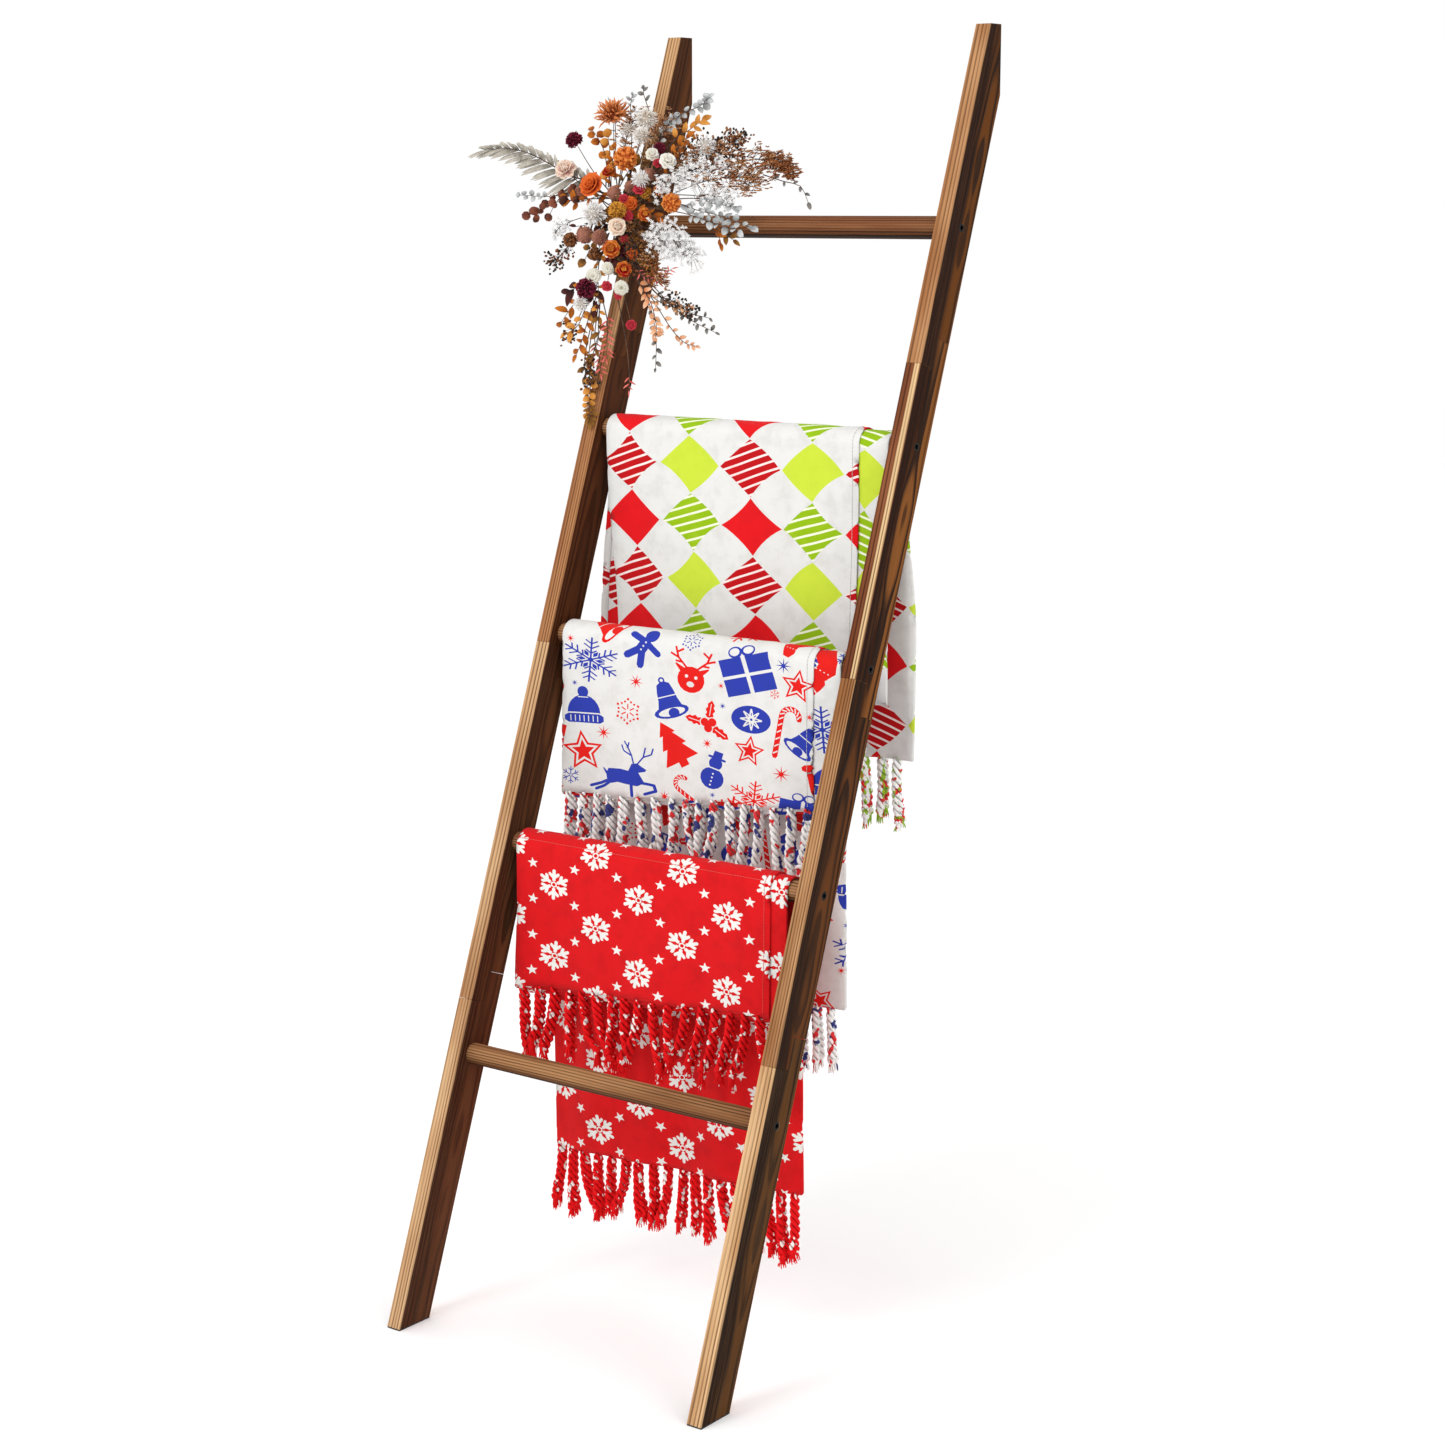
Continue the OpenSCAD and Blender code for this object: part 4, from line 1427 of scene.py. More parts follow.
def blossom(radius, dice):
    """A tiny star with its own pip."""
    parts = [petal(radius * dice.uniform(0.8, 1.2), radius * 0.36, 35, 75, 0.3, tip=0.4, rows=3,
                   columns=2) for _ in range(6)]
    return whorl(parts, dice.uniform(0, 6)) + [ball(radius * 0.22, 1.0, 4, 5)]


def dried(name, foot, tip, vein=0.25, veins=7, blotches=130, run=(0.0, 0.95)):
    """Dried petal or leaf: colour runs from foot to tip, with fine veins and age blotches."""
    shader = Shader(name)
    foot, tip = rgb(foot), rgb(tip)
    u, v, _ = shader.parts(shader.flat_place())
    place = shader.object_place()
    blotch = shader.noise(place, blotches, 3, 0.6)
    grain = shader.noise(place, 1100, 3, 0.65)
    drift = shader.times(shader.math("SUBTRACT", blotch, 0.5), 0.9)
    colour = shader.mix(shader.between(shader.plus(v, drift), *run), foot, tip)
    tone = shader.between(shader.noise(place, 60, 1), 0.35, 0.65)
    colour = shader.tint(tone, 0.35, colour, shade(tip, 1.25))
    line = shader.math("SINE", shader.times(u, veins * 2 * math.pi))
    line = shader.between(line, 0.55, 1.0)
    colour = shader.tint(line, vein, colour, shade(foot, 0.55))
    colour = shader.tint(grain, 0.28, colour, shade(foot, 0.7))
    return shader.finish(colour, 0.72, shader.plus(line, shader.times(grain, 0.6)), 0.12, 0.8,
                         Specular_IOR_Level=0.2)


def stem_bark(name, dark, light):
    shader = Shader(name)
    dark, light = rgb(dark), rgb(light)
    place = shader.object_place()
    fine = shader.noise(shader.scale(place, (1, 1, 0.25)), 1500, 3, 0.7)
    broad = shader.noise(place, 90, 2)
    colour = shader.mix(shader.between(broad, 0.35, 0.65), dark, light)
    return shader.finish(shader.tint(fine, 0.5, colour, shade(dark, 0.45)), 0.8, fine, 0.12,
                         0.9)


def as_seen(x, s, k):
    """Shifts a place so that it shows where (x, s) does on a plane 30 mm before the rails."""
    ahead = SEEN_PLANE - k
    return x + SIGHT_X * ahead, s + SIGHT_S * ahead, k


def curved(places, count):
    """A smooth line of vectors through (x, s, k) places on the ladder."""
    spots = [on_ladder(*as_seen(*place)) for place in places]
    ends = [spots[0] * 2 - spots[1]] + spots + [spots[-1] * 2 - spots[-2]]
    made = []
    for i in range(count + 1):
        at = i / count * (len(spots) - 1)
        n = min(int(at), len(spots) - 2)
        t = at - n
        a, b, c, d = ends[n:n + 4]
        made.append((b * 2 + (c - a) * t + (a * 2 - b * 5 + c * 4 - d) * t ** 2
                     + (b * 3 - a - c * 3 + d) * t ** 3) / 2)
    return made


def outward(x, s, dice):
    """Where a bloom at (x, s) looks: forward, and away from the middle of the spray."""
    lean_x, lean_s = (x - HEART[0]) / 190, (s - HEART[1]) / 210
    return (OUTWARD + Vector((lean_x + dice.gauss(0, 0.15), 0, 0))
            + UP_RAIL * (lean_s + dice.gauss(0, 0.15)))


# Slot and CAD node of each piece of the spray; the other pieces are foliage
SPRAY_PARTS = dict.fromkeys(("spray_roses", "spray_round_blooms", "spray_cones",
                             "spray_small_blooms"), ("dried_petal", "spray_blooms"))
SPRAY_PARTS["spray_palm_frond"] = ("palm_leaf", "spray_palm_leaf")
CLOUD_STEPS = 24
HEADS_APART = 3.4          # of the heads on one fine twig
LEAF_THICKNESS = 0.3


class Spray:
    """The pieces of the spray while their meshes are gathered."""

    def __init__(self):
        self.builds, self.looks, self.twigs = {}, {}, Build()
        self.dice = random.Random(41)

    def add(self, piece, material, parts):
        """Adds parts to a piece, which gains the material the first time that it is used."""
        known = self.looks.setdefault(piece, [])
        if material not in known:
            known.append(material)
        build = self.builds.setdefault(piece, Build())
        for points, faces, flat in parts:
            build.add(points, faces, known.index(material), flat)

    def twig(self, line, radius=0.8, sides=5):
        count = len(line)
        radii = [radius * MM * (1 - 0.55 * i / (count - 1)) for i in range(count)]
        self.twigs.add(*tube(line, radii, sides))

    def bloom(self, kind, x, s, k, radius):
        """A bloom and its stem from the bound bundle, arched forward of the rail."""
        piece, shape, material = kind
        out = outward(x, s, self.dice)
        turn = self.dice.uniform(0, 6.28)
        spot = on_ladder(*as_seen(x, s, k))
        self.add(piece, material, [set_at(part, spot, out, turn=turn, scale=MM)
                                   for part in shape(radius, self.dice)])
        side = 1 if x > HEART[0] else -1
        root_s = HEART[1] - 10 + max(-46, min(46, (s - HEART[1]) * 0.3))
        mid = (blend(HEART[0], x, 0.5) + side * 3, blend(root_s, s, 0.45), min(k, -26) + 5)
        self.twig(curved([(HEART[0] + side * 5, root_s, -20), mid, (x, s, k + 5)], 10), 0.9)

    def leafy(self, places, piece, material, size, shape, gap, spread, start, wild=0.35):
        """Leaves on alternate sides of a curved stem, and one at its end."""
        dice = self.dice
        length = sum((on_ladder(*b) - on_ladder(*a)).length for a, b in
                     zip(places, places[1:])) / MM
        steps = max(6, int(length / gap))
        path = curved(places, steps)
        self.twig(path)
        for i in range(int(steps * start), steps + 1):
            ahead = (path[min(i + 1, steps)] - path[max(i - 1, 0)]).normalized()
            side = OUTWARD.cross(ahead).normalized()
            way = 0 if i == steps else 1 if i % 2 else -1
            angle = math.radians(spread * dice.uniform(0.75, 1.25)) * way
            along = ahead * math.cos(angle) + side * math.sin(angle)
            along += OUTWARD * dice.gauss(0.1, 0.7 * wild)
            face = OUTWARD + Vector((dice.gauss(0, wild), dice.gauss(0, 0.2),
                                     dice.gauss(0, wild)))
            part = shape(size * dice.uniform(0.7, 1.15))
            self.add(piece, material, [set_at(part, path[i], face, along, scale=MM)])

    def cloud(self, places, piece, materials, reach, count, heads, start):
        """Fine side twigs off a curved stem, each with a few small heads at its end."""
        dice = self.dice
        path = curved(places, CLOUD_STEPS)
        self.twig(path, 0.7)
        for _ in range(count):
            t = blend(start, 1.0, dice.random())
            i = min(CLOUD_STEPS - 1, int(t * CLOUD_STEPS))
            ahead = (path[i + 1] - path[i]).normalized()
            side = OUTWARD.cross(ahead).normalized()
            way = (ahead * dice.uniform(0.2, 1.0) + side * dice.gauss(0, 0.75)
                   + OUTWARD * dice.gauss(0.12, 0.4)).normalized()
            long = reach * dice.uniform(0.3, 1.0) * (1.1 - 0.45 * t) * MM
            bend = side * dice.gauss(0, 0.08) * long
            line = [path[i] + way * long * f + bend * math.sin(3 * f) for f in
                    (0, 0.33, 0.67, 1.0)]
            self.twig(line, 0.35, 4)
            material = materials[int(dice.random() * len(materials))]
            shape, number = heads
            for n in range(number):
                apart = HEADS_APART * MM if n else 0.0
                spot = line[3] + Vector([dice.gauss(0, 1) for _ in range(3)]) * apart
                out = way + OUTWARD * 0.8 + Vector((dice.gauss(0, 0.3), 0, dice.gauss(0, 0.3)))
                self.add(piece, material, [set_at(part, spot, out, scale=MM)
                                           for part in shape(dice)])

    def finish(self):
        for name, build in self.builds.items():
            slot, node = SPRAY_PARTS.get(name, ("dried_leaf", "spray_foliage"))
            belongs(build.piece(name, self.looks[name], LEAF_THICKNESS), "ladder", slot, node)
        bark = stem_bark("twig_bark", "33241b", "6d4a30")
        belongs(self.twigs.piece("spray_twigs", [bark]), "ladder", "dried_stem", "spray_stems")


def bloom_kinds():
    """Each kind of bloom: its piece, its shape and its material."""
    roses, rounds = "spray_roses", "spray_round_blooms"
    return {
        "cream rose": (roses, rose, dried("rose_cream", "d99a80", "f5e4cf", 0.15)),
        "blush rose": (roses, rose, dried("rose_blush", "d0757a", "f1dfcb", 0.15)),
        "fire rose": (roses, rose, dried("rose_fire", "a8120c", "f3a03c", 0.2, run=(0.78, 1.1))),
        "red rose": (roses, rose, dried("rose_red", "6a0f1c", "cf3a48", 0.2)),
        "white rose": (roses, rose, dried("rose_white", "ddd2ae", "f8f4ec", 0.12)),
        "carnation": (roses, carnation, dried("carnation_petal", "a4160a", "e8742a", 0.2,
                                              run=(0.3, 1.2))),
        "orange": (rounds, pompom, dried("pompom_orange", "b83a08", "fb9a48", 0.15)),
        "gold": (rounds, pompom, dried("pompom_gold", "7a4a0c", "e8a23c", 0.2)),
        "burgundy": (rounds, dahlia, dried("dahlia_burgundy", "2c0810", "7d1c36", 0.2)),
        "spiky": (rounds, spiky, dried("spiky_orange", "8c3210", "f3995a", 0.2)),
        "dusty": (rounds, dusty, dried("dusty_ball", "7c4638", "c58d76", 0.1)),
        "button": (rounds, fluffy, dried("button_white", "e6dccf", "ffffff", 0.05)),
        "plume": (rounds, fluffy, dried("plume_cream", "d9c8b4", "fdf8f0", 0.08)),
        "disc": (rounds, disc_bloom, dried("disc_cream", "a29a7e", "f0ecdd", 0.4, 3)),
        "cone": ("spray_cones", cone, dried("cone_brown", "3c1f10", "9c6238", 0.2)),
    }


# Kind, x, s, k and radius
BLOOMS = [
    ("spiky", -275, 1534, -26, 21), ("burgundy", -331, 1503, -26, 11),
    ("blush rose", -333, 1462, -32, 15), ("orange", -240, 1477, -46, 16),
    ("carnation", -282, 1440, -44, 18), ("button", -271, 1405, -48, 17),
    ("button", -209, 1450, -48, 12), ("gold", -235, 1409, -54, 12),
    ("cream rose", -229, 1388, -52, 12), ("dusty", -279, 1377, -38, 11),
    ("dusty", -254, 1374, -42, 10), ("dusty", -300, 1432, -26, 9), ("cone", -301, 1370, -30, 10),
    ("cone", -255, 1352, -34, 9), ("fire rose", -231, 1359, -48, 12),
    ("fire rose", -204, 1333, -38, 10.5), ("orange", -152, 1419, -40, 13),
    ("white rose", -199, 1482, -38, 9), ("white rose", -172, 1473, -42, 11),
    ("burgundy", -189, 1490, -30, 8), ("red rose", -186, 1470, -36, 7),
    ("red rose", -207, 1436, -42, 8), ("disc", -250, 1323, -36, 11), ("disc", -230, 1334, -40, 9),
    ("disc", -202, 1309, -38, 10), ("burgundy", -258, 1307, -38, 13),
    ("red rose", -225, 1311, -40, 7), ("red rose", -204, 1299, -34, 5.5),
    ("red rose", -173, 1261, -22, 7), ("button", -261, 1287, -36, 10),
    ("button", -116, 1491, -34, 14), ("plume", -221, 1529, -26, 16), ("plume", -221, 1506, -32, 13),
    ("plume", -246, 1516, -22, 11), ("red rose", -214, 1372, -38, 6),
    ("red rose", -216, 1402, -40, 7), ("orange", -262, 1462, -34, 8), ("dusty", -222, 1440, -36, 8),
    ("burgundy", -228, 1340, -26, 8), ("gold", -196, 1432, -34, 8),
    ("fire rose", -190, 1404, -34, 9), ("fire rose", -262, 1458, -38, 9),
    ("carnation", -216, 1418, -38, 10), ("dusty", -246, 1432, -40, 9),
    ("red rose", -228, 1424, -46, 7), ("orange", -176, 1436, -30, 7), ("dusty", -196, 1456, -30, 8),
    ("burgundy", -214, 1356, -32, 7), ("carnation", -196, 1352, -30, 8),
]


PALM_STEPS = 60


def add_palm_frond(spray):
    frond = dried("palm_frond", "7c766b", "cfc8bb", 0.35, 4, 160)
    line = curved([(-262, 1430, -26), (-290, 1447, -24), (-326, 1456, -24), (-364, 1472, -24),
                   (-405, 1487, -24), (-444, 1494, -24), (-478, 1492, -24)], PALM_STEPS)
    spray.twig(line, 1.3, 6)
    dice = random.Random(17)
    for i in range(8, PALM_STEPS + 1):
        t = i / PALM_STEPS
        if i % 4 == 3:
            continue
        ahead = (line[min(i + 1, PALM_STEPS)] - line[i - 1]).normalized()
        side = OUTWARD.cross(ahead).normalized()
        for way in (1, -1):
            lower = way > 0
            long = (60 if lower else 30) * (1 - 0.42 * t) * min(1.0, 0.45 + 2.2 * t)
            angle = math.radians(blend(58 if lower else 40, 14, t ** 1.3)) * way
            along = ahead * math.cos(angle) + side * math.sin(angle)
            along += OUTWARD * dice.gauss(0.06, 0.07)
            face = OUTWARD + side * dice.gauss(0.25, 0.2) * way
            part = leaf(long * dice.uniform(0.85, 1.1), 4.6 * (1 - 0.35 * t), 30, 0.7, 7, 3, 0.6)
            spray.add("spray_palm_frond", frond, [set_at(part, line[i], face, along, scale=MM)])


def add_foliage(spray):
    """Every leafy sprig, from the top of the spray to its bottom."""
    rust = dried("leaf_rust", "7c3209", "c9761f", 0.3)
    amber = dried("leaf_amber", "a05c12", "e3a04c", 0.3)
    dark = dried("leaf_dark", "210c0a", "54201a", 0.3)
    bronze = dried("leaf_bronze", "4e2e0e", "9c6a2b", 0.3)
    peach = dried("leaf_peach", "d07d4c", "f6c6a0", 0.2)
    coral = dried("sprig_coral", "c93a38", "f2837a", 0.2)
    grey = dried("eucalyptus_grey", "77797a", "cfd2d1", 0.2)
    ash = dried("oval_ash", "3f3c39", "8f8a84", 0.2)
    pod = dried("pod_brown", "3f1f16", "b9694c", 0.2, blotches=60, run=(0.2, 1.0))
    pointed = lambda size: leaf(size, size * 0.44, 34, 0.35)
    rounded = lambda size: leaf(size, size * 0.8, 20, 0.2, 6, 5, 0.55)
    oval = lambda size: leaf(size, size * 0.52, 16, 0.15, 6, 3, 0.6)
    narrow = lambda size: leaf(size, size * 0.2, 26, 0.5, 6, 3)
    bud = lambda size: ball(size * 0.5, 1.3, 6, 8)
    leaves, greys = "spray_leaves", "spray_grey_leaves"
    rows = [
        ([(-262, 1440, -22), (-272, 1478, -24), (-290, 1503, -24), (-304, 1516, -22)], leaves, rust,
         14, rounded, 11, 62, 0.3),
        ([(-258, 1440, -20), (-266, 1480, -22), (-276, 1506, -22)], leaves, amber, 13, rounded, 11,
         65, 0.3),
        ([(-225, 1440, -20), (-236, 1500, -20), (-250, 1545, -18), (-252, 1562, -18)], greys, grey,
         8, oval, 9, 45, 0.55),
        ([(-250, 1450, -18), (-268, 1520, -18), (-288, 1556, -16)], greys, grey, 8, narrow, 10, 40,
         0.5),
        ([(-215, 1470, -16), (-215, 1530, -18), (-232, 1560, -18), (-236, 1570, -16)], greys, ash,
         9, oval, 14, 55, 0.5),
        ([(-200, 1450, -20), (-190, 1500, -22), (-170, 1532, -22), (-140, 1545, -20),
          (-128, 1556, -18)], greys, grey, 11, rounded, 6, 65, 0.35),
        ([(-200, 1460, -20), (-186, 1516, -24), (-176, 1530, -24)], greys, grey, 10, rounded, 6, 70,
         0.3),
        ([(-190, 1460, -20), (-170, 1500, -26), (-148, 1514, -26), (-132, 1526, -24)], leaves,
         amber, 15, pointed, 7, 50, 0.45),
        ([(-190, 1450, -20), (-166, 1480, -28), (-150, 1502, -28)], leaves, rust, 14, pointed, 7,
         55, 0.4),
        ([(-250, 1425, -24), (-300, 1434, -26), (-350, 1428, -26), (-402, 1430, -24)], greys, grey,
         8, rounded, 6, 70, 0.72),
        ([(-210, 1420, -24), (-150, 1420, -32), (-110, 1410, -32), (-70, 1402, -30),
          (-22, 1388, -26)], greys, grey, 10.5, rounded, 6.5, 70, 0.35, 0.8),
        ([(-200, 1415, -24), (-130, 1406, -34), (-90, 1396, -34), (-40, 1384, -30)], greys, grey,
         10, rounded, 7, 72, 0.4, 0.8),
        ([(-200, 1420, -24), (-120, 1425, -30), (-84, 1418, -30), (-50, 1414, -28)], greys, grey,
         10, rounded, 6.5, 75, 0.4, 0.8),
        ([(-120, 1410, -26), (-90, 1390, -26), (-70, 1380, -26), (-62, 1368, -24)], leaves, rust,
         14, pointed, 10, 45, 0.55),
        ([(-90, 1394, -24), (-64, 1382, -24), (-44, 1372, -22)], leaves, bronze, 12, pointed, 10,
         50, 0.5),
        ([(-20, 1455, -22), (14, 1446, -22), (40, 1440, -20), (56, 1420, -18)], greys, ash, 9, oval,
         13, 55, 0.3),
        ([(-240, 1350, -26), (-262, 1322, -28), (-272, 1308, -28), (-284, 1304, -26)], leaves, dark,
         22, pointed, 14, 60, 0.6),
        ([(-236, 1330, -24), (-244, 1304, -28), (-240, 1284, -28)], leaves, dark, 18, pointed, 12,
         55, 0.5),
        ([(-240, 1330, -26), (-262, 1300, -30), (-276, 1280, -28), (-286, 1262, -24)], leaves, rust,
         18, pointed, 10, 52, 0.3),
        ([(-240, 1310, -26), (-252, 1280, -28), (-258, 1258, -26), (-272, 1248, -24)], leaves,
         amber, 17, pointed, 9, 55, 0.3),
        ([(-238, 1300, -24), (-244, 1262, -26), (-246, 1240, -24), (-250, 1220, -20)], leaves, rust,
         16, pointed, 9, 50, 0.3),
        ([(-232, 1300, -24), (-226, 1262, -24), (-220, 1240, -22), (-224, 1222, -20)], leaves,
         bronze, 15, pointed, 9, 50, 0.3),
        ([(-226, 1290, -20), (-212, 1264, -22), (-206, 1240, -20), (-200, 1216, -16)], leaves,
         coral, 11, narrow, 4, 60, 0.3),
        ([(-232, 1280, -18), (-226, 1240, -18), (-212, 1216, -14), (-204, 1196, -12)], leaves,
         coral, 10, narrow, 5, 65, 0.4),
        ([(-236, 1290, -20), (-236, 1220, -18), (-222, 1180, -12), (-210, 1150, -10),
          (-206, 1134, -8)], leaves, bronze, 12, pointed, 6.5, 55, 0.35),
        ([(-236, 1290, -18), (-230, 1220, -16), (-216, 1176, -12), (-214, 1144, -10)], leaves,
         amber, 10, rounded, 8, 60, 0.4),
        ([(-206, 1300, -18), (-176, 1240, -14), (-160, 1200, -10), (-154, 1176, -8)], leaves, coral,
         9, narrow, 8, 60, 0.75),
        ([(-210, 1360, -24), (-180, 1330, -26), (-150, 1320, -24), (-128, 1334, -20)], leaves,
         coral, 8, narrow, 3.6, 55, 0.35),
        ([(-210, 1350, -24), (-176, 1316, -24), (-150, 1290, -20), (-134, 1262, -16),
          (-130, 1246, -14)], leaves, peach, 13, pointed, 5, 60, 0.3),
        ([(-200, 1340, -22), (-160, 1304, -20), (-120, 1286, -16), (-88, 1286, -14)], leaves, peach,
         9, oval, 8, 60, 0.3),
        ([(-190, 1330, -22), (-150, 1296, -18), (-110, 1258, -14), (-84, 1240, -12),
          (-66, 1236, -10)], leaves, peach, 9, oval, 9, 55, 0.45),
        ([(-196, 1340, -22), (-150, 1310, -18), (-112, 1284, -14), (-80, 1268, -12),
          (-40, 1254, -10)], greys, ash, 8, oval, 8, 60, 0.35),
        ([(-160, 1312, -18), (-124, 1290, -14), (-90, 1278, -12), (-54, 1272, -10)], greys, ash,
         8.5, oval, 8, 62, 0.35),
        ([(-176, 1316, -18), (-146, 1280, -14), (-128, 1240, -12), (-120, 1206, -10)], greys, ash,
         8.5, oval, 10, 50, 0.35),
        ([(-210, 1380, -24), (-184, 1352, -28), (-160, 1336, -26), (-146, 1318, -24)], leaves, rust,
         9, narrow, 3.2, 60, 0.25),
        ([(-240, 1440, -24), (-230, 1462, -30), (-214, 1470, -32)], leaves, bronze, 15, pointed, 8,
         60, 0.2),
        ([(-230, 1420, -26), (-200, 1410, -34), (-170, 1400, -34)], leaves, rust, 13, pointed, 6,
         60, 0.2),
        ([(-240, 1420, -26), (-262, 1430, -34), (-300, 1420, -32), (-320, 1424, -30)], leaves, rust,
         15, pointed, 8, 55, 0.2),
        ([(-236, 1400, -26), (-220, 1372, -36), (-214, 1352, -36), (-208, 1330, -32)], leaves, dark,
         12, rounded, 6, 60, 0.2),
        ([(-240, 1390, -24), (-262, 1392, -32), (-296, 1388, -30)], leaves, dark, 13, pointed, 7,
         60, 0.2),
        ([(-240, 1400, -26), (-256, 1450, -36), (-262, 1490, -30)], leaves, rust, 14, pointed, 8,
         60, 0.1),
        ([(-236, 1400, -26), (-216, 1440, -36), (-206, 1490, -28)], leaves, bronze, 13, pointed, 8,
         60, 0.1),
        ([(-236, 1400, -26), (-190, 1430, -30), (-160, 1470, -26), (-140, 1500, -22)], leaves, rust,
         12, pointed, 7, 60, 0.3),
        ([(-236, 1390, -26), (-196, 1380, -34), (-176, 1360, -30), (-166, 1330, -24)], leaves,
         bronze, 12, pointed, 7, 60, 0.1),
        ([(-240, 1380, -26), (-246, 1340, -32), (-236, 1300, -28), (-226, 1270, -22)], leaves,
         amber, 12, pointed, 9, 60, 0.1),
        ([(-240, 1420, -26), (-250, 1400, -40), (-262, 1370, -36), (-270, 1345, -28)], leaves,
         bronze, 12, rounded, 8, 60, 0.1),
        ([(-250, 1425, -24), (-300, 1424, -30), (-350, 1418, -30), (-384, 1402, -28)], "spray_pods",
         pod, 12, bud, 17, 75, 0.45),
        ([(-250, 1430, -24), (-296, 1436, -30), (-332, 1430, -30), (-346, 1400, -28)], "spray_pods",
         pod, 11, bud, 17, 75, 0.45),
        ([(-250, 1430, -22), (-310, 1440, -26), (-350, 1424, -26), (-366, 1398, -24)], "spray_pods",
         pod, 9.5, bud, 16, 75, 0.45),
    ]
    for row in rows:
        spray.leafy(*row)


def add_fillers(spray):
    """Baby's breath, seed heads and fine twigs that fill out the spray."""
    white = dried("breath_white", "f6f2ef", "ffffff", 0.0)
    brown = dried("seed_brown", "4a220e", "a5653a", 0.2)
    tan = dried("seed_tan", "7c4a26", "c89468", 0.2)
    near_black = dried("seed_black", "1e1816", "4c3c34", 0.1)
    small, filler = "spray_small_blooms", "spray_seed_heads"
    star = lambda dice: blossom(dice.uniform(2.3, 3.6), dice)
    seed = lambda dice: [ball(dice.uniform(0.9, 1.7), 1.35, 4, 6)]
    chaff = lambda dice: whorl([petal(dice.uniform(3, 5.5), 2.1, 20, 60, 0.4, tip=0.3, rows=3,
                                      columns=2) for _ in range(2)])
    rows = [
        ([(-215, 1400, -24), (-180, 1385, -34), (-150, 1380, -36), (-128, 1366, -34)], small,
         [white], 32, 95, (star, 3), 0.3),
        ([(-210, 1390, -24), (-160, 1370, -30), (-126, 1356, -28), (-96, 1348, -24)], small,
         [white], 26, 75, (star, 3), 0.35),
        ([(-215, 1410, -24), (-186, 1430, -36), (-156, 1444, -38), (-130, 1462, -34)], small,
         [white], 28, 60, (star, 3), 0.35),
        ([(-210, 1420, -24), (-160, 1450, -32), (-110, 1466, -32), (-70, 1470, -28)], small,
         [white], 24, 40, (star, 2), 0.5),
        ([(-150, 1430, -24), (-100, 1428, -30), (-60, 1426, -28)], small, [white], 26, 40,
         (star, 2), 0.3),
        ([(-250, 1390, -22), (-284, 1400, -26), (-318, 1390, -22), (-330, 1380, -20)], small,
         [white], 16, 24, (star, 2), 0.5),
        ([(-215, 1420, -22), (-160, 1460, -26), (-100, 1480, -26), (-50, 1478, -24),
          (6, 1466, -22)], filler, [brown, tan], 30, 170, (chaff, 2), 0.25),
        ([(-200, 1430, -22), (-140, 1480, -26), (-90, 1494, -24), (-66, 1500, -22)], filler, [brown,
          tan, near_black], 26, 120, (seed, 3), 0.25),
        ([(-180, 1420, -20), (-110, 1446, -24), (-60, 1452, -24), (-26, 1446, -22)], filler, [brown,
          tan], 30, 150, (chaff, 2), 0.25),
        ([(-100, 1460, -22), (-40, 1474, -22), (0, 1470, -20), (26, 1456, -18)], filler, [brown],
         16, 110, (chaff, 3), 0.45),
        ([(-220, 1430, -20), (-196, 1500, -22), (-176, 1530, -20)], filler, [tan, brown], 22, 80,
         (chaff, 2), 0.3),
        ([(-240, 1450, -18), (-246, 1510, -20), (-236, 1540, -18)], filler, [tan, brown], 18, 60,
         (chaff, 2), 0.3),
        ([(-205, 1400, -22), (-176, 1370, -26), (-160, 1340, -24), (-140, 1318, -20)], filler,
         [brown, tan], 18, 90, (chaff, 2), 0.2),
        ([(-230, 1390, -24), (-214, 1376, -34), (-196, 1350, -32), (-190, 1330, -28)], filler,
         [brown, near_black], 14, 70, (seed, 3), 0.2),
        ([(-250, 1380, -22), (-290, 1372, -24), (-312, 1350, -22), (-318, 1336, -20)], filler,
         [near_black, brown], 22, 46, (seed, 2), 0.45),
        ([(-250, 1300, -22), (-262, 1260, -22), (-270, 1236, -20)], filler, [near_black, brown], 16,
         26, (seed, 2), 0.5),
        ([(-220, 1260, -18), (-224, 1210, -16), (-218, 1180, -12)], filler, [brown, near_black], 12,
         50, (seed, 2), 0.4),
        ([(-180, 1330, -20), (-140, 1300, -18), (-106, 1290, -14), (-80, 1276, -12)], filler,
         [near_black, tan], 18, 60, (seed, 2), 0.3),
        ([(-240, 1400, -24), (-236, 1420, -34), (-226, 1400, -38), (-216, 1384, -36)], filler,
         [brown, tan], 16, 90, (chaff, 2), 0.1),
    ]
    for row in rows:
        spray.cloud(*row)


def bundle_place():
    """Where the bound stems' middle is: across, and along the rail."""
    centre = middle("spray_core")
    return centre.x / MM, centre.dot(UP_RAIL) / MM


WIRE_CLEAR, WIRE_TURNS, WIRE_PITCH, WIRE_RADIUS = 0.9, 3, 1.75, 0.8
BOUND_STEMS, STEM_RADIUS = 37, 1.35
BUNDLE_RADIUS, BUNDLE_HALF, BUNDLE_AHEAD = 10.4, 62, 12.0   # AHEAD is before the rail's face


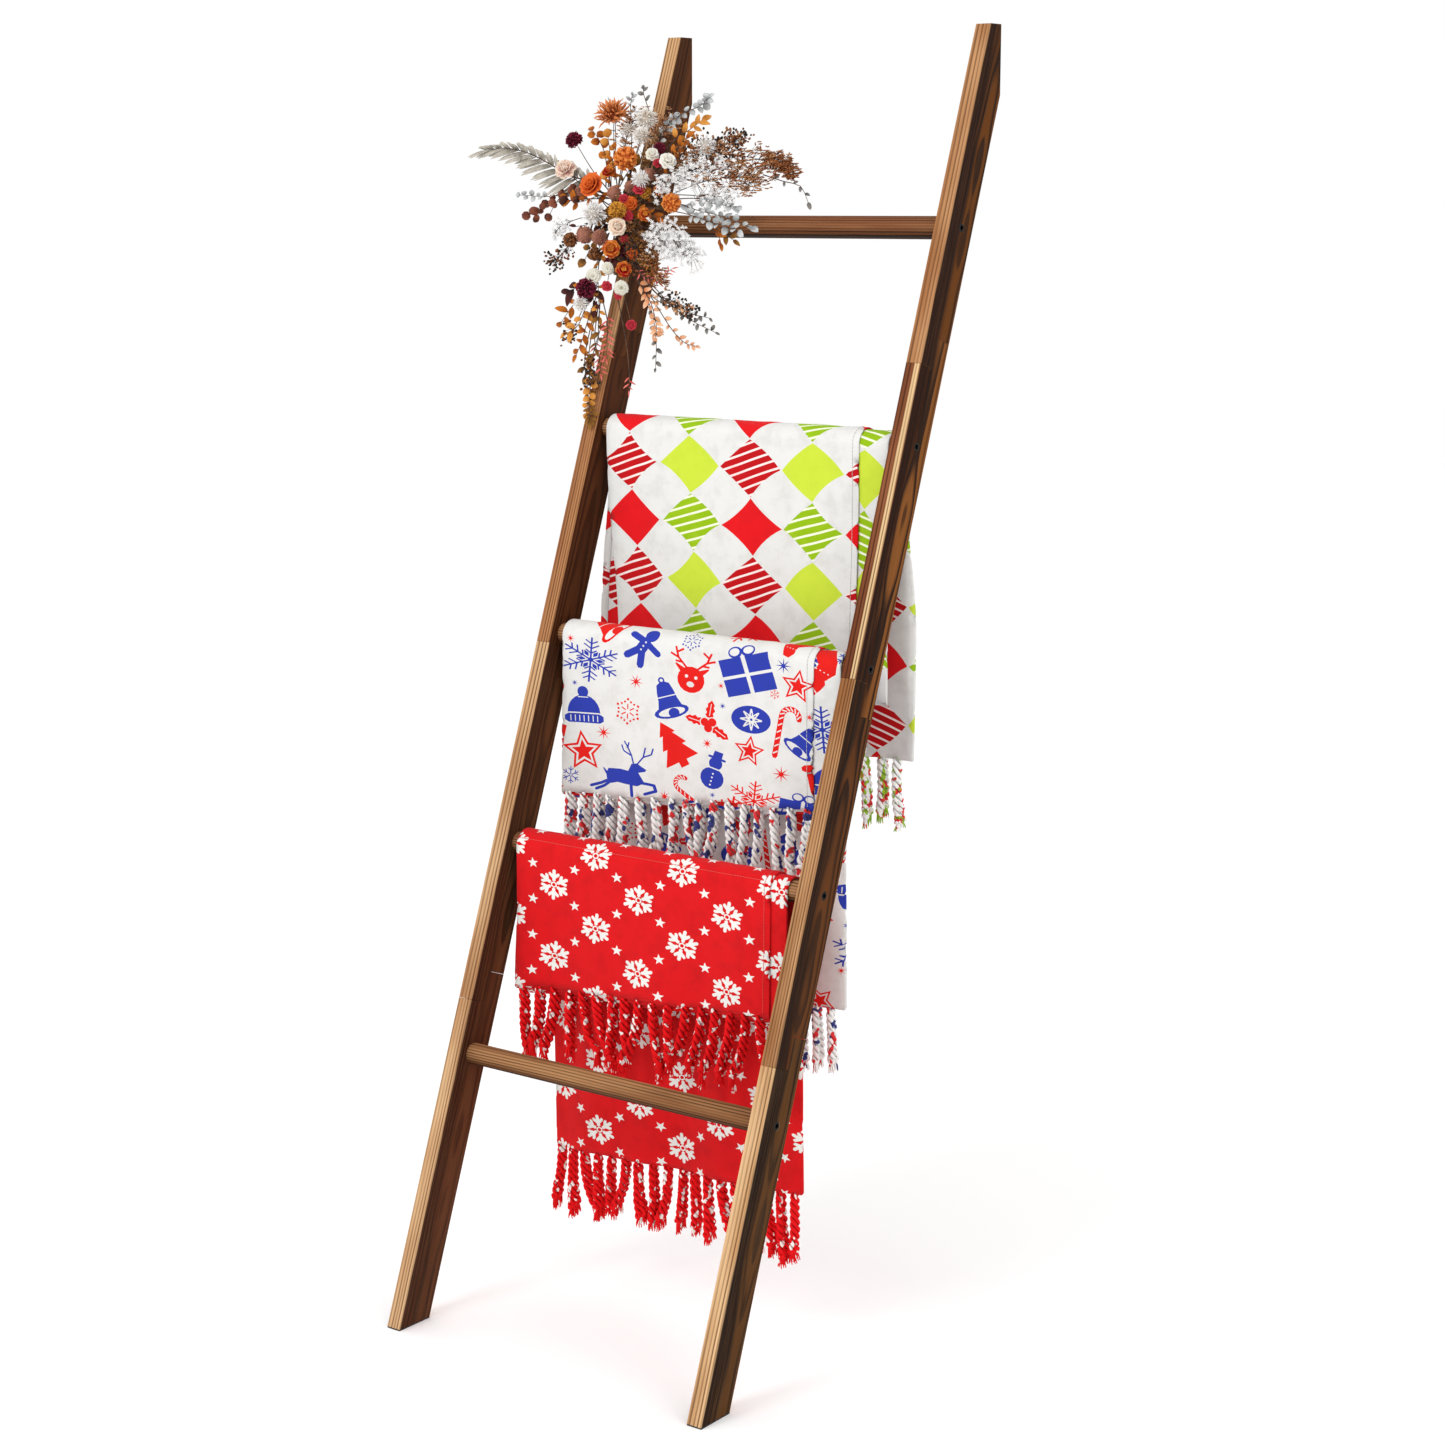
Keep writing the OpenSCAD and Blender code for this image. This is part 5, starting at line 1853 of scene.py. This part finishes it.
def add_bundle():
    """The bound stems that lie on the rail's front face."""
    build, dice = Build(), random.Random(23)
    x_middle, s_middle = bundle_place()
    for i in range(BOUND_STEMS):
        turn, out = GOLDEN_TURN * i, BUNDLE_RADIUS * math.sqrt((i + 0.5) / BOUND_STEMS)
        x, k = x_middle + out * math.cos(turn), -BUNDLE_AHEAD + out * math.sin(turn)
        line = []
        for n in range(9):
            t = n / 8 * 2 - 1
            flare = 1 + 0.16 * t * t * dice.uniform(0.4, 1)
            line.append(on_ladder(x_middle + (x - x_middle) * flare,
                                  s_middle + t * BUNDLE_HALF * dice.uniform(0.99, 1),
                                  min(-0.4, -BUNDLE_AHEAD + (k + BUNDLE_AHEAD) * flare)))
        build.add(*tube(line, STEM_RADIUS * MM, 7))
    bundle = build.piece("spray_bound_stems", [stem_bark("bound_stems_bark", "5d4327",
                                                         "9c7a4c")])
    belongs(bundle, "ladder", "dried_stem", "spray_core")


def add_binding():
    """Turns of wire round the rail and the bundle, above and below its middle."""
    build = Build()
    x_middle, s_middle = bundle_place()
    half, deep = RAIL_WIDTH / 2 + WIRE_CLEAR, RAIL_DEPTH + WIRE_CLEAR
    outline = [(-half, deep), (half, deep), (half, -0.6), (13.6, -12), (9.6, -21.6), (0, -25.6),
               (-9.6, -21.6), (-13.6, -12), (-half, -0.6)]
    for s_band in (-40, 40):
        line = []
        for i in range(WIRE_TURNS * len(outline) * 4):
            at = i / 4
            n = int(at) % len(outline)
            a, b = outline[n], outline[(n + 1) % len(outline)]
            t = at - int(at)
            s = s_middle + s_band + 2.4 + (i / (len(outline) * 4) - WIRE_TURNS / 2) * WIRE_PITCH
            line.append(on_ladder(x_middle + blend(a[0], b[0], t), s, blend(a[1], b[1], t)))
        build.add(*tube(line, WIRE_RADIUS * MM, 6))
    wire = build.piece("spray_binding", [metal("tie_wire_bronze", "5e4a2a", 0.42, 0.3)])
    belongs(wire, "ladder", "tie_wire", "spray_tie")


def make_spray():
    spray = Spray()
    kinds = bloom_kinds()
    for kind, x, s, k, radius in BLOOMS:
        spray.bloom(kinds[kind], x, s, k, radius)
    add_palm_frond(spray)
    add_foliage(spray)
    add_fillers(spray)
    spray.finish()
    add_bundle()
    add_binding()


# ---- the whole scene ----

add_camera()
add_studio()
add_floor()
dress_wood()
dress_fittings()
make_soft_goods()
make_spray()
